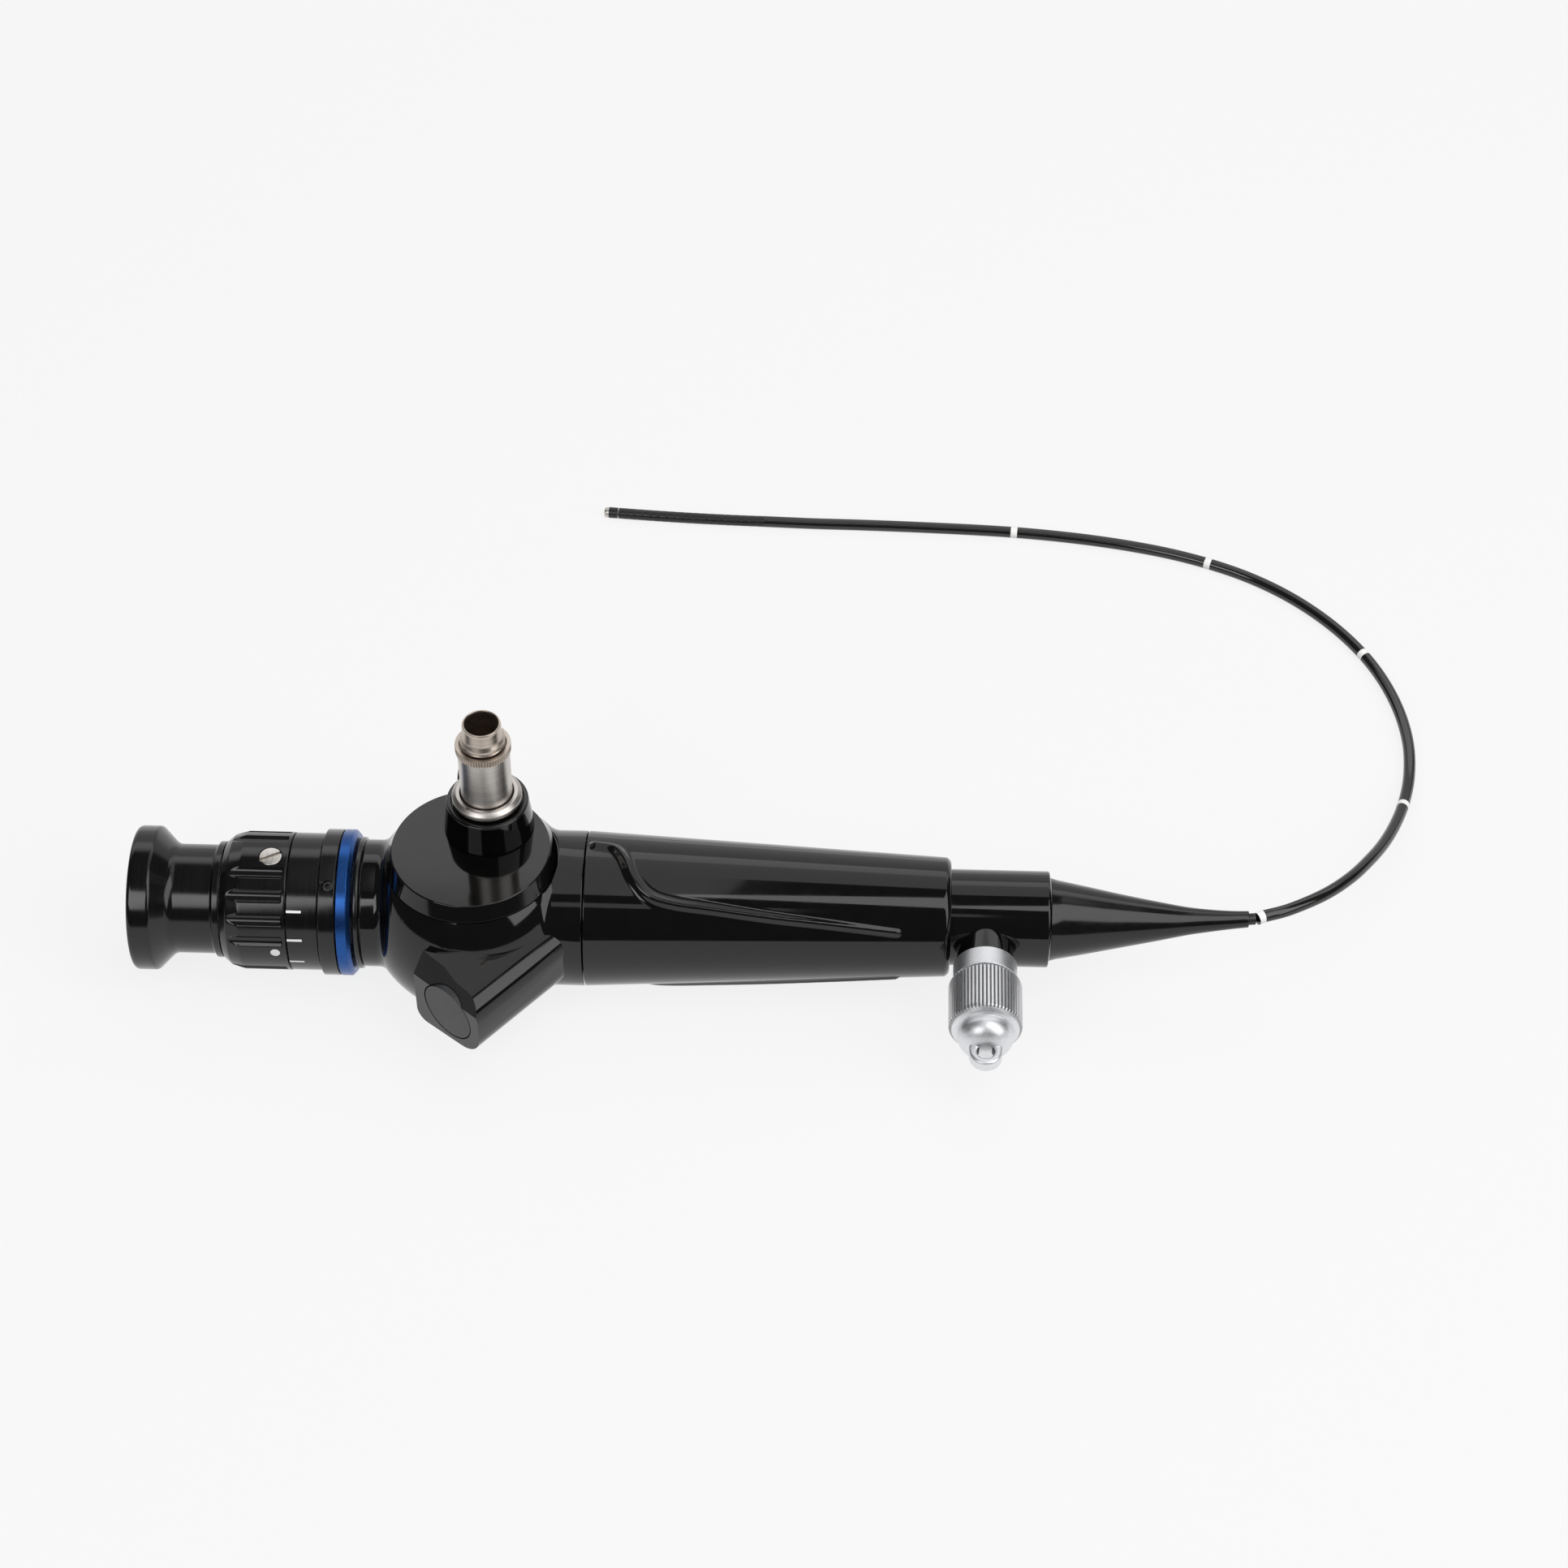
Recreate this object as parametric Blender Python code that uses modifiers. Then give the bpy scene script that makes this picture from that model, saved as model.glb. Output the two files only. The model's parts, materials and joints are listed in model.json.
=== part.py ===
# Flexible endoscope: eyepiece, control housing, grip handle, channel port and a 300 mm insertion tube.
# Metres, +Z up. The origin lies under the control housing on the surface that the endoscope rests on.
# The main axis runs along +X at AXIS_HEIGHT, the deflection lever turns about Z through the origin,
# the light post points up, the channel port to -Y and the lever's thumb piece to +Y.

import bpy
import bmesh
from math import acos, asin, cos, pi, radians, sin, sqrt, tan
from mathutils import Matrix, Vector

mm = 0.001

# General fits
AXIS_HEIGHT = 17.5 * mm      # main axis above the surface
GAP = 0.3 * mm               # between pieces that seat on each other
MERGE = 0.005 * mm           # merge distance of the modelling tools

# Eyepiece, from the housing outwards
REAR_X = -24.0 * mm          # rear end of the housing's neck
SEAL_WIDTH = 1.4 * mm
SEAL_RADIUS = 14.6 * mm
BLUE_WIDTH = 3.0 * mm
CLAMP_WIDTH = 3.6 * mm
CLAMP_RADIUS = 16.2 * mm
SCALE_WIDTH = 6.7 * mm
SCALE_RADIUS = 15.2 * mm
DIOPTRE_WIDTH = 14.8 * mm
DIOPTRE_RADIUS = 15.3 * mm
DIOPTRE_REAR_RADIUS = 13.1 * mm
FLUTE_COUNT = 18
FLUTE_RADIUS = 1.6 * mm
FLUTE_DEPTH = 0.8 * mm
FLUTE_RIM = 0.6 * mm         # plain rim at the front end of the flutes
FLUTE_START_ANGLE = 11.5     # degrees from -Y towards +Z
EYECUP_LENGTH = 19.7 * mm
EYECUP_RADIUS = 16.0 * mm
EYECUP_BAND = 4.9 * mm
EYECUP_CONE = 3.6 * mm
EYECUP_TUBE_RADIUS = 12.1 * mm
EYECUP_COLLAR_RADIUS = 12.9 * mm
EYECUP_COLLAR = 1.5 * mm
RECESS_RADIUS = 12.6 * mm
RECESS_WAIST_RADIUS = 8.6 * mm
RECESS_BOTTOM_RADIUS = 8.0 * mm
RECESS_DEPTH = 6.8 * mm
WINDOW_RADIUS = 9.0 * mm
WINDOW_THICKNESS = 1.5 * mm
TUBE_RADIUS = 10.5 * mm      # eyepiece tube that carries the rings
TUBE_WALL = 1.1 * mm
TUBE_ENGAGEMENT = 3.7 * mm   # length inside the housing's neck
SCREW_RADIUS = 2.5 * mm
SCREW_ANGLE = 87.7
SCREW_FROM_FRONT = 3.9 * mm
SCREW_SLOT = 0.7 * mm
CLAMP_SCREW_RADIUS = 1.2 * mm
CLAMP_SCREW_ANGLE = 60.2
OCULAR_BORE = 6.5 * mm
OCULAR_LENGTH = 9.0 * mm
OCULAR_TRAVEL = 1.5 * mm
LENS_THICKNESS = 4.0 * mm
GUIDE_RADIUS = 1.0 * mm      # image guide
GUIDE_IN_BOOT = 2.3 * mm     # guides and channel end this far inside the boot
GUIDE_MOUNT_LENGTH = 3.0 * mm

# Control housing
SPHERE_RADIUS = 24.2 * mm
REAR_NECK_RADIUS = 14.1 * mm
REAR_FILLET = 2.5 * mm
FRONT_NECK_RADIUS = 17.18 * mm
FRONT_FILLET = 4.0 * mm
SEAM_X = 24.92 * mm          # seam between housing and handle
SPIGOT_LENGTH = 4.1 * mm
TOP_FLAT = 15.05 * mm        # above the main axis
BOTTOM_FLAT = 13.2 * mm      # below the main axis
CHAMBER_RADIUS = 14.0 * mm
FRONT_BORE = 12.5 * mm
REAR_PASSAGE = 6.0 * mm
COVER_RADIUS = 18.96 * mm
COVER_TOP_RADIUS = 17.27 * mm
COVER_HEIGHT = 3.42 * mm
COVER_PLUG = 3.0 * mm

# Light post
POST_X = 3.5 * mm
POST_Y = 7.27 * mm
SOCKET_RADIUS = 9.88 * mm
SOCKET_TOP_RADIUS = 8.94 * mm
SOCKET_HEIGHT = 7.75 * mm
FLANGE_RADIUS = 7.66 * mm
FLANGE_HEIGHT = 2.2 * mm
POST_RADIUS = 5.64 * mm
POST_LENGTH = 13.0 * mm      # plain steel tube above the flange
POST_THREAD_RADIUS = 4.9 * mm
POST_THREAD_LENGTH = 4.5 * mm
POST_TOP_RADIUS = 4.22 * mm
POST_TOP_LENGTH = 3.4 * mm
POST_BORE = 3.64 * mm
COLLAR_RADIUS = 6.06 * mm
COLLAR_HEIGHT = 1.7 * mm
COLLAR_TEETH = 36
BUNDLE_RADIUS = 1.5 * mm

# Valve block beside the housing
VALVE_ANGLE = 50.0           # its axis, inwards, from +X towards +Y
VALVE_OFFSET = 17.47 * mm    # button axis beside the housing's centre
VALVE_FACE = 25.97 * mm      # outer face from the housing's centre
VALVE_BLOCK_LENGTH = 30.97 * mm
VALVE_LEAN = 35.0            # upper part of the face leans back
VALVE_CREASE = 5.0 * mm      # height of the crease above the main axis
BUTTON_RADIUS = 6.87 * mm
BUTTON_LENGTH = 5.5 * mm
BUTTON_POCKET_RADIUS = 4.8 * mm
BUTTON_POCKET_DEPTH = 3.5 * mm
BUTTON_TRAVEL = 2.0 * mm
STEM_RADIUS = 1.8 * mm
STEM_LENGTH = 6.5 * mm
SPRING_RADIUS = 3.7 * mm
SPRING_WIRE = 0.35 * mm
SPRING_TURNS = 4
SUCTION_RADIUS = 0.9 * mm

# Grip handle
HANDLE_LENGTH = 80.28 * mm
HANDLE_FRONT_RADIUS = 13.2 * mm
HANDLE_BORE_REAR = 14.3 * mm
HANDLE_BORE_FRONT = 10.95 * mm
HANDLE_EDGE = 0.9 * mm
RIB_RADIUS = 1.0 * mm
RIB_PROUD = 0.1 * mm         # centre of the rib's round section above the handle's surface

# Route of the upper rib: distance from the seam, angle from -Y towards +Z, and share of its radius
RIB_ROUTE = (
    (2.0, 101.5, 1.0), (6.3, 99.0, 1.0), (8.6, 89.0, 1.0), (10.9, 71.5, 1.0), (14.5, 58.5, 1.0),
    (19.9, 52.9, 0.95), (28.7, 49.3, 0.85), (41.1, 43.9, 0.75), (53.5, 39.3, 0.62), (68.5, 32.8, 0.5),
)

# Chassis, pull wires and coil pipes
CHASSIS_RADIUS = 5.6 * mm
CHASSIS_BORE = 4.9 * mm
CHASSIS_REACH = 5.12 * mm    # from the seam back into the housing
CHASSIS_REAR_FLANGE = 3.2 * mm
CHASSIS_FRONT_FLANGE = 3.5 * mm
CHASSIS_SETBACK = 17.2 * mm  # from its front end to the handle's
WIRE_RADIUS = 0.35 * mm
WIRE_OFFSET = 9.65 * mm      # wire centre line beside the drum
WIRE_DEPTH = 7.5 * mm        # below the main axis at the drum
WIRE_FRONT_OFFSET = 4.4 * mm
WIRE_FRONT_DEPTH = 4.4 * mm
WIRE_FRONT_REACH = 0.8 * mm  # coil pipes' end past the handle's
WIRE_START_X = 1.0 * mm
WIRE_SETBACK = 10.2 * mm     # pull wires' end short of the handle's
PIPE_RADIUS = 1.1 * mm
PIPE_BORE = 0.7 * mm
SUCTION_OFFSET = 8.4 * mm
BUNDLE_OFFSET = 2.95 * mm

# Deflection lever and its bearing, below the housing
PLATE_THICKNESS = 2.8 * mm
HUB_THICKNESS = 3.6 * mm
HUB_RADIUS = 19.5 * mm
HUB_BOTTOM_RADIUS = 18.2 * mm
HUB_WEB = 1.5 * mm
CAP_RADIUS = 12.5 * mm
SHAFT_RADIUS = 4.7 * mm
SHAFT_BORE = 2.5 * mm
STUD_RADIUS = 2.2 * mm
DRUM_RADIUS = 9.2 * mm
DRUM_GROOVE = 0.3 * mm
DRUM_HEIGHT = 4.9 * mm
BRIDGE_WIDTH = 6.0 * mm
BRIDGE_THICKNESS = 1.8 * mm
ARM_WIDTH = 10.0 * mm
ARM_CENTRE_X = -1.5 * mm
ARM_THICKNESS = 3.5 * mm
ARM_REACH = 34.5 * mm
ARM_TOP = 8.3 * mm           # above the main axis
ARM_BEND = 7.5 * mm
ARM_INSET = 0.2 * mm         # its faces lie this far inside the hub's
PADDLE_RIB_RADIUS = 0.7 * mm
PADDLE_RIB_PITCH = 2.6 * mm
PADDLE_RIB_COUNT = 6

# Channel port and its cap, along -Y from the main axis
NECK_RADIUS = 10.65 * mm
NECK_LENGTH = 21.74 * mm
NECK_SPIGOT = 1.9 * mm
NECK_BORE = 8.2 * mm
NECK_FRONT_BORE = 4.9 * mm
PORT_OFFSET = 7.7 * mm       # from the handle's end to the port's axis
BOSS_RADIUS = 6.2 * mm
BOSS_END = 14.05 * mm
FITTING_COLLAR_RADIUS = 7.0 * mm
FITTING_COLLAR = 4.75 * mm
FITTING_STEM_RADIUS = 3.0 * mm
FITTING_START = 9.0 * mm
FITTING_TIP = 28.0 * mm
FITTING_BORE = 1.2 * mm
CHANNEL_RADIUS = 0.9 * mm
KNURL_RADIUS = 8.0 * mm
KNURL_DEPTH = 0.35 * mm
KNURL_TEETH = 54
KNURL_LENGTH = 11.2 * mm
KNURL_SHOULDER = 1.0 * mm
CAP_BORE = 3.9 * mm
CAP_RING_RADIUS = 6.06 * mm
CAP_RING = 2.2 * mm
CAP_DOME = 3.2 * mm
CAP_SEAL = 2.0 * mm
EYELET_WIDTH = 7.1 * mm
EYELET_THICKNESS = 3.0 * mm
EYELET_REACH = 4.2 * mm      # past the dome's start to the hole's centre
EYELET_HOLE = 1.8 * mm

# Boot: share of its length and its radius there
BOOT_LENGTH = 43.9 * mm
BOOT_PROFILE = (
    (0.0, 9.2), (0.03, 8.8), (0.2, 7.35), (0.36, 5.92), (0.52, 4.57), (0.68, 3.23), (0.77, 2.68),
    (0.85, 2.3), (0.93, 2.0), (1.0, 1.84),
)
BOOT_WALL = 2.3 * mm
BOOT_TIP_WALL = 0.24 * mm
BOOT_SAG = 1.5 * mm          # sideways at the tip
FERRULE_RADIUS = 1.3 * mm
FERRULE_BORE = 0.9 * mm
FERRULE_LENGTH = 41.74 * mm
FERRULE_PROUD = 1.6 * mm

# Insertion tube: its route past the ferrule, in millimetres, X, Y and height above the surface
TUBE_DIAMETER = 2.8 * mm
TUBE_STEP = 7.0 * mm
TUBE_ROUTE = (
    (174.6, 2.5, 17.5), (180.4, 4.8, 17.4), (188.5, 10.5, 16.2), (195.0, 17.7, 14.0), (200.2, 25.8, 11.2),
    (204.6, 34.2, 8.1), (208.3, 43.1, 5.3), (211.3, 52.3, 3.0), (213.4, 62.0, 1.7), (214.1, 72.0, 1.5),
    (213.1, 81.9, 1.5), (210.6, 91.6, 1.5), (206.7, 100.8, 1.5), (201.4, 109.3, 1.5), (195.0, 116.9, 1.5),
    (187.6, 123.6, 1.5), (179.3, 129.2, 1.5), (170.3, 133.6, 1.5), (160.9, 137.0, 1.5),
    (151.3, 139.5, 1.5), (141.5, 141.4, 1.5), (131.6, 142.8, 1.5), (121.6, 143.8, 1.5),
    (111.6, 144.4, 1.5), (101.6, 144.8, 1.5), (91.6, 145.1, 1.5), (81.6, 145.3, 1.5),
    (71.6, 145.4, 1.5), (64.6, 145.6, 1.5), (58.6, 145.8, 1.5),
)

# Bending section at the end of the tube
LINK_COUNT = 8
LINK_PITCH = 4.55 * mm
LINK_GAP = 0.6 * mm
LINK_RADIUS = 0.95 * mm
LINK_BORE = 0.65 * mm
LINK_TURN = -0.45            # degrees from each link to the next, at rest
BEND_HEADING = 178.6         # degrees from +X towards +Y
SHEATH_RADIUS = 1.37 * mm
SHEATH_BORE = 1.15 * mm
TIP_LENGTH = 3.3 * mm
TIP_LENS_RADIUS = 0.45 * mm

# Places worked out from the sizes above
seal_x = REAR_X - GAP
blue_x = seal_x - SEAL_WIDTH - GAP
clamp_x = blue_x - BLUE_WIDTH - GAP
scale_x = clamp_x - CLAMP_WIDTH - GAP
dioptre_x = scale_x - SCALE_WIDTH - GAP
eyecup_x = dioptre_x - DIOPTRE_WIDTH - GAP
eyecup_face_x = eyecup_x - EYECUP_LENGTH
window_x = eyecup_face_x + RECESS_DEPTH + GAP
tube_start_x = window_x + WINDOW_THICKNESS + GAP
tube_end_x = REAR_X + TUBE_ENGAGEMENT
fit_radius = TUBE_RADIUS + GAP
tube_bore = TUBE_RADIUS - TUBE_WALL
cover_bottom = TOP_FLAT + GAP
cover_top = cover_bottom + COVER_HEIGHT
socket_bottom = cover_top + GAP
socket_top = socket_bottom + SOCKET_HEIGHT
flange_bottom = socket_top + GAP
flange_top = flange_bottom + FLANGE_HEIGHT
thread_bottom = flange_top + POST_LENGTH
thread_top = thread_bottom + POST_THREAD_LENGTH
post_top = thread_top + POST_TOP_LENGTH
handle_start_x = SEAM_X + GAP / 2
handle_end_x = SEAM_X + HANDLE_LENGTH
neck_start_x = handle_end_x - NECK_SPIGOT
port_x = handle_end_x + PORT_OFFSET
neck_end_x = handle_end_x + NECK_LENGTH
boot_start_x = neck_end_x + GAP
boot_end_x = boot_start_x + BOOT_LENGTH
ferrule_end_x = boot_end_x + FERRULE_PROUD
ferrule_start_x = ferrule_end_x - FERRULE_LENGTH
chassis_start_x = SEAM_X - CHASSIS_REACH
chassis_end_x = handle_end_x - CHASSIS_SETBACK
wire_front_x = handle_end_x + WIRE_FRONT_REACH
wire_end_x = handle_end_x - WIRE_SETBACK
guide_end_x = boot_start_x + GUIDE_IN_BOOT
hub_top = -BOTTOM_FLAT - GAP
hub_bottom = hub_top - HUB_THICKNESS
plate_top = -BOTTOM_FLAT + PLATE_THICKNESS
drum_bottom = plate_top + GAP
drum_top = drum_bottom + DRUM_HEIGHT
bridge_bottom = drum_top + 1.0 * mm

valve_in = Vector((cos(radians(VALVE_ANGLE)), sin(radians(VALVE_ANGLE)), 0.0))
valve_side = Vector((valve_in.y, -valve_in.x, 0.0))
centre = Vector((0.0, 0.0, AXIS_HEIGHT))
valve_centre = centre + valve_side * VALVE_OFFSET
ALONG_X = Vector((1.0, 0.0, 0.0))
ALONG_Y = Vector((0.0, 1.0, 0.0))
ALONG_Z = Vector((0.0, 0.0, 1.0))


def clear_scene():
    for old in list(bpy.data.objects):
        bpy.data.objects.remove(old, do_unlink=True)


def new_collection(name):
    group = bpy.data.collections.new(name)
    bpy.context.scene.collection.children.link(group)
    return group


def finish(name, colour, roughness, metallic=0.0, alpha=1.0):
    look = bpy.data.materials.new(name)
    look.use_nodes = True
    shader = look.node_tree.nodes["Principled BSDF"]
    shader.inputs["Base Color"].default_value = (*colour, 1.0)
    shader.inputs["Roughness"].default_value = roughness
    shader.inputs["Metallic"].default_value = metallic
    shader.inputs["Alpha"].default_value = alpha
    return look


FINISHES = {
    "satin_black": ((0.012, 0.012, 0.013), 0.38, 0.2),
    "gloss_black": ((0.008, 0.008, 0.009), 0.1, 0.0),
    "rubber_black": ((0.012, 0.012, 0.012), 0.45, 0.0),
    "blue_anodised": ((0.03, 0.1, 0.35), 0.3, 0.8),
    "steel": ((0.62, 0.6, 0.58), 0.28, 1.0),
    "aluminium": ((0.8, 0.81, 0.82), 0.3, 1.0),
    "brass": ((0.7, 0.52, 0.22), 0.35, 1.0),
    "fibre": ((0.75, 0.72, 0.6), 0.4, 0.0),
    "polymer_white": ((0.7, 0.7, 0.68), 0.5, 0.0),
    "seal_rubber": ((0.05, 0.05, 0.05), 0.6, 0.0),
}


def give_finish(piece, kind):
    colour, roughness, metallic = FINISHES[kind]
    piece.data.materials.clear()
    piece.data.materials.append(finish(piece.name, colour, roughness, metallic))


def place(piece, origin, axis):
    # Local Z of the piece points along the axis
    piece.location = origin
    piece.rotation_euler = Vector(axis).to_track_quat("Z", "Y").to_euler()


def smooth(piece):
    piece.data.shade_smooth()
    piece.data.set_sharp_from_angle(angle=radians(35.0))


def add_mesh(name, shape, group):
    mesh = bpy.data.meshes.new(name)
    shape.to_mesh(mesh)
    shape.free()
    piece = bpy.data.objects.new(name, mesh)
    group.objects.link(piece)
    return piece


def turned(name, outline, kind=None, origin=centre, axis=ALONG_X, segments=24):
    # The outline's (along, radius) points run up the outer side, and down the inside where it is hollow
    shape = bmesh.new()
    points = [shape.verts.new((radius, 0.0, along)) for along, radius in reversed(outline)]
    for first, second in zip(points, points[1:]):
        shape.edges.new((first, second))
    if outline[0][1] > 0.0 or outline[-1][1] > 0.0:
        shape.edges.new((points[-1], points[0]))
    piece = add_mesh(name, shape, parts if kind else cutters)
    screw = piece.modifiers.new("Screw", "SCREW")
    screw.axis = "Z"
    screw.steps = segments
    screw.render_steps = segments
    screw.use_merge_vertices = True
    screw.merge_threshold = MERGE
    place(piece, origin, axis)
    return as_part(piece, kind)


def as_part(piece, kind):
    if kind:
        give_finish(piece, kind)
    else:
        piece.hide_render = True
        piece.display_type = "WIRE"
    return piece


def rod(name, low, high, radius, kind=None, origin=centre, axis=ALONG_X, segments=20):
    # Round bar between two distances along its axis
    shape = bmesh.new()
    bmesh.ops.create_cone(shape, cap_ends=True, segments=segments, radius1=radius, radius2=radius,
                          depth=high - low, matrix=Matrix.Translation((0.0, 0.0, (low + high) / 2)))
    piece = add_mesh(name, shape, parts if kind else cutters)
    place(piece, origin, axis)
    return as_part(piece, kind)


def block(name, low, high, kind=None, origin=centre, turn=Matrix.Identity(3)):
    # Box between two corners of its own frame
    shape = bmesh.new()
    low, high = Vector(low), Vector(high)
    bmesh.ops.create_cube(shape, size=1.0)
    bmesh.ops.scale(shape, vec=high - low, verts=shape.verts)
    bmesh.ops.translate(shape, vec=(low + high) / 2, verts=shape.verts)
    piece = add_mesh(name, shape, parts if kind else cutters)
    piece.location = origin
    piece.rotation_euler = turn.to_euler()
    return as_part(piece, kind)


def made_mesh(curve_piece, group):
    # A curve's caps are loose, so its mesh is welded before a cut
    bpy.context.view_layer.update()
    seen = curve_piece.evaluated_get(bpy.context.evaluated_depsgraph_get())
    mesh = bpy.data.meshes.new_from_object(seen)
    shape = bmesh.new()
    shape.from_mesh(mesh)
    bmesh.ops.remove_doubles(shape, verts=shape.verts, dist=MERGE)
    shape.to_mesh(mesh)
    shape.free()
    piece = bpy.data.objects.new("mesh", mesh)
    piece.matrix_world = curve_piece.matrix_world.copy()
    group.objects.link(piece)
    name = curve_piece.name
    bpy.data.objects.remove(curve_piece, do_unlink=True)
    piece.name = name
    mesh.name = name
    return piece


def plate(name, outline, low, high, turn, kind=None, origin=centre):
    # Flat outline in its own X and Y, with a thickness along its own Z
    curve = bpy.data.curves.new(name, "CURVE")
    curve.dimensions = "2D"
    curve.fill_mode = "BOTH"
    curve.extrude = (high - low) / 2
    line = curve.splines.new("POLY")
    line.points.add(len(outline) - 1)
    for point, (x, y) in zip(line.points, outline):
        point.co = (x, y, 0.0, 1.0)
    line.use_cyclic_u = True
    piece = bpy.data.objects.new(name, curve)
    (parts if kind else cutters).objects.link(piece)
    piece.matrix_world = Matrix.Translation(origin + turn @ Vector((0.0, 0.0, (low + high) / 2))) @ turn.to_4x4()
    return as_part(made_mesh(piece, parts if kind else cutters), kind)


def tube(name, points, radius, kind=None, resolution=2, shares=None, origin=Vector()):
    # Round section along points that are given relative to the origin
    curve = bpy.data.curves.new(name, "CURVE")
    curve.dimensions = "3D"
    curve.bevel_depth = radius
    curve.bevel_resolution = resolution
    curve.use_fill_caps = True
    line = curve.splines.new("POLY")
    line.points.add(len(points) - 1)
    for index, (point, place_at) in enumerate(zip(line.points, points)):
        point.co = (*place_at, 1.0)
        if shares:
            point.radius = shares[index]
    piece = bpy.data.objects.new(name, curve)
    (parts if kind else cutters).objects.link(piece)
    piece.location = origin
    if kind:
        give_finish(piece, kind)
    else:
        piece = as_part(made_mesh(piece, cutters), None)
    return piece


def change(piece, other, how):
    cut = piece.modifiers.new(other.name, "BOOLEAN")
    cut.operation = how
    cut.solver = "EXACT"
    cut.object = other
    return piece


def cut_with(piece, *others):
    for other in others:
        change(piece, other, "DIFFERENCE")


def join_with(piece, *others):
    for other in others:
        change(piece, other, "UNION")


def rounded(corners, steps=4):
    # Closed outline whose (x, y, radius) corners are replaced by arcs
    outline = []
    for index, (x, y, size) in enumerate(corners):
        corner = Vector((x, y))
        before = (Vector(corners[index - 1][:2]) - corner).normalized()
        after = (Vector(corners[(index + 1) % len(corners)][:2]) - corner).normalized()
        if size <= 0.0:
            outline.append((x, y))
            continue
        half = acos(max(-1.0, min(1.0, before.dot(after)))) / 2
        middle = corner + (before + after).normalized() * (size / sin(half))
        start = corner + before * (size / tan(half)) - middle
        sweep = pi - 2 * half
        if before.cross(after) > 0.0:
            sweep = -sweep
        for step in range(steps + 1):
            turned_by = Matrix.Rotation(sweep * step / steps, 2)
            point = middle + turned_by @ start
            outline.append((point.x, point.y))
    return outline


def curve_through(points, spacing):
    # Evenly spaced points on a smooth curve through the given ones
    points = [Vector(point) for point in points]
    ends = [points[0] * 2 - points[1]] + points + [points[-1] * 2 - points[-2]]
    fine = []
    for a, b, c, d in zip(ends, ends[1:], ends[2:], ends[3:]):
        for step in range(12):
            t = step / 12
            fine.append(0.5 * (2 * b + (c - a) * t + (2 * a - 5 * b + 4 * c - d) * t * t
                               + (3 * b - a - 3 * c + d) * t ** 3))
    fine.append(points[-1])
    lengths = [0.0]
    for a, b in zip(fine, fine[1:]):
        lengths.append(lengths[-1] + (b - a).length)
    count = max(2, round(lengths[-1] / spacing))
    result, index = [], 0
    for step in range(count + 1):
        want = lengths[-1] * step / count
        while index < len(lengths) - 2 and lengths[index + 1] < want:
            index += 1
        share = (want - lengths[index]) / (lengths[index + 1] - lengths[index])
        result.append(fine[index].lerp(fine[index + 1], share))
    return result


def ring(name, front_x, width, radius, kind, chamfer=0.3 * mm, segments=26):
    # Ring on the eyepiece tube, with its bore clear of the tube
    rear_x = front_x - width
    return turned(name, [(rear_x, radius - chamfer), (rear_x + chamfer, radius), (front_x - chamfer, radius),
                         (front_x, radius - chamfer), (front_x, fit_radius), (rear_x, fit_radius)],
                  kind, segments=segments)


def make_eyecup():
    x = eyecup_face_x
    rim = 0.7 * mm
    cone_x = x + EYECUP_BAND + EYECUP_CONE
    collar_x = eyecup_x - EYECUP_COLLAR
    seat_x = window_x + WINDOW_THICKNESS
    turned("eyecup", [
        (x, EYECUP_RADIUS - rim), (x + 0.2 * rim, EYECUP_RADIUS - 0.3 * rim), (x + rim, EYECUP_RADIUS),
        (x + EYECUP_BAND, EYECUP_RADIUS), (cone_x - 0.4 * mm, EYECUP_TUBE_RADIUS + 0.5 * mm),
        (cone_x + 0.5 * mm, EYECUP_TUBE_RADIUS), (collar_x - 0.3 * mm, EYECUP_TUBE_RADIUS),
        (collar_x, EYECUP_COLLAR_RADIUS), (eyecup_x, EYECUP_COLLAR_RADIUS), (eyecup_x, fit_radius),
        (seat_x + GAP, fit_radius), (seat_x, WINDOW_RADIUS + GAP),
        (x + RECESS_DEPTH, WINDOW_RADIUS + GAP), (x + RECESS_DEPTH, RECESS_BOTTOM_RADIUS),
        (x + RECESS_DEPTH / 2, RECESS_WAIST_RADIUS), (x + 0.4 * mm, RECESS_RADIUS), (x, RECESS_RADIUS + 0.4 * mm),
    ], "satin_black", segments=26)
    rod("eyepiece_window", window_x, window_x + WINDOW_THICKNESS, WINDOW_RADIUS, "polymer_white", segments=26)


def make_eyepiece_tube():
    turned("eyepiece_tube", [(tube_start_x, TUBE_RADIUS), (tube_end_x, TUBE_RADIUS),
                             (tube_end_x, tube_bore), (tube_start_x, tube_bore)], "aluminium", segments=24)


def at_angle(angle):
    # Direction square to the main axis, from -Y towards +Z
    return Vector((0.0, -cos(radians(angle)), sin(radians(angle))))


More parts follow.
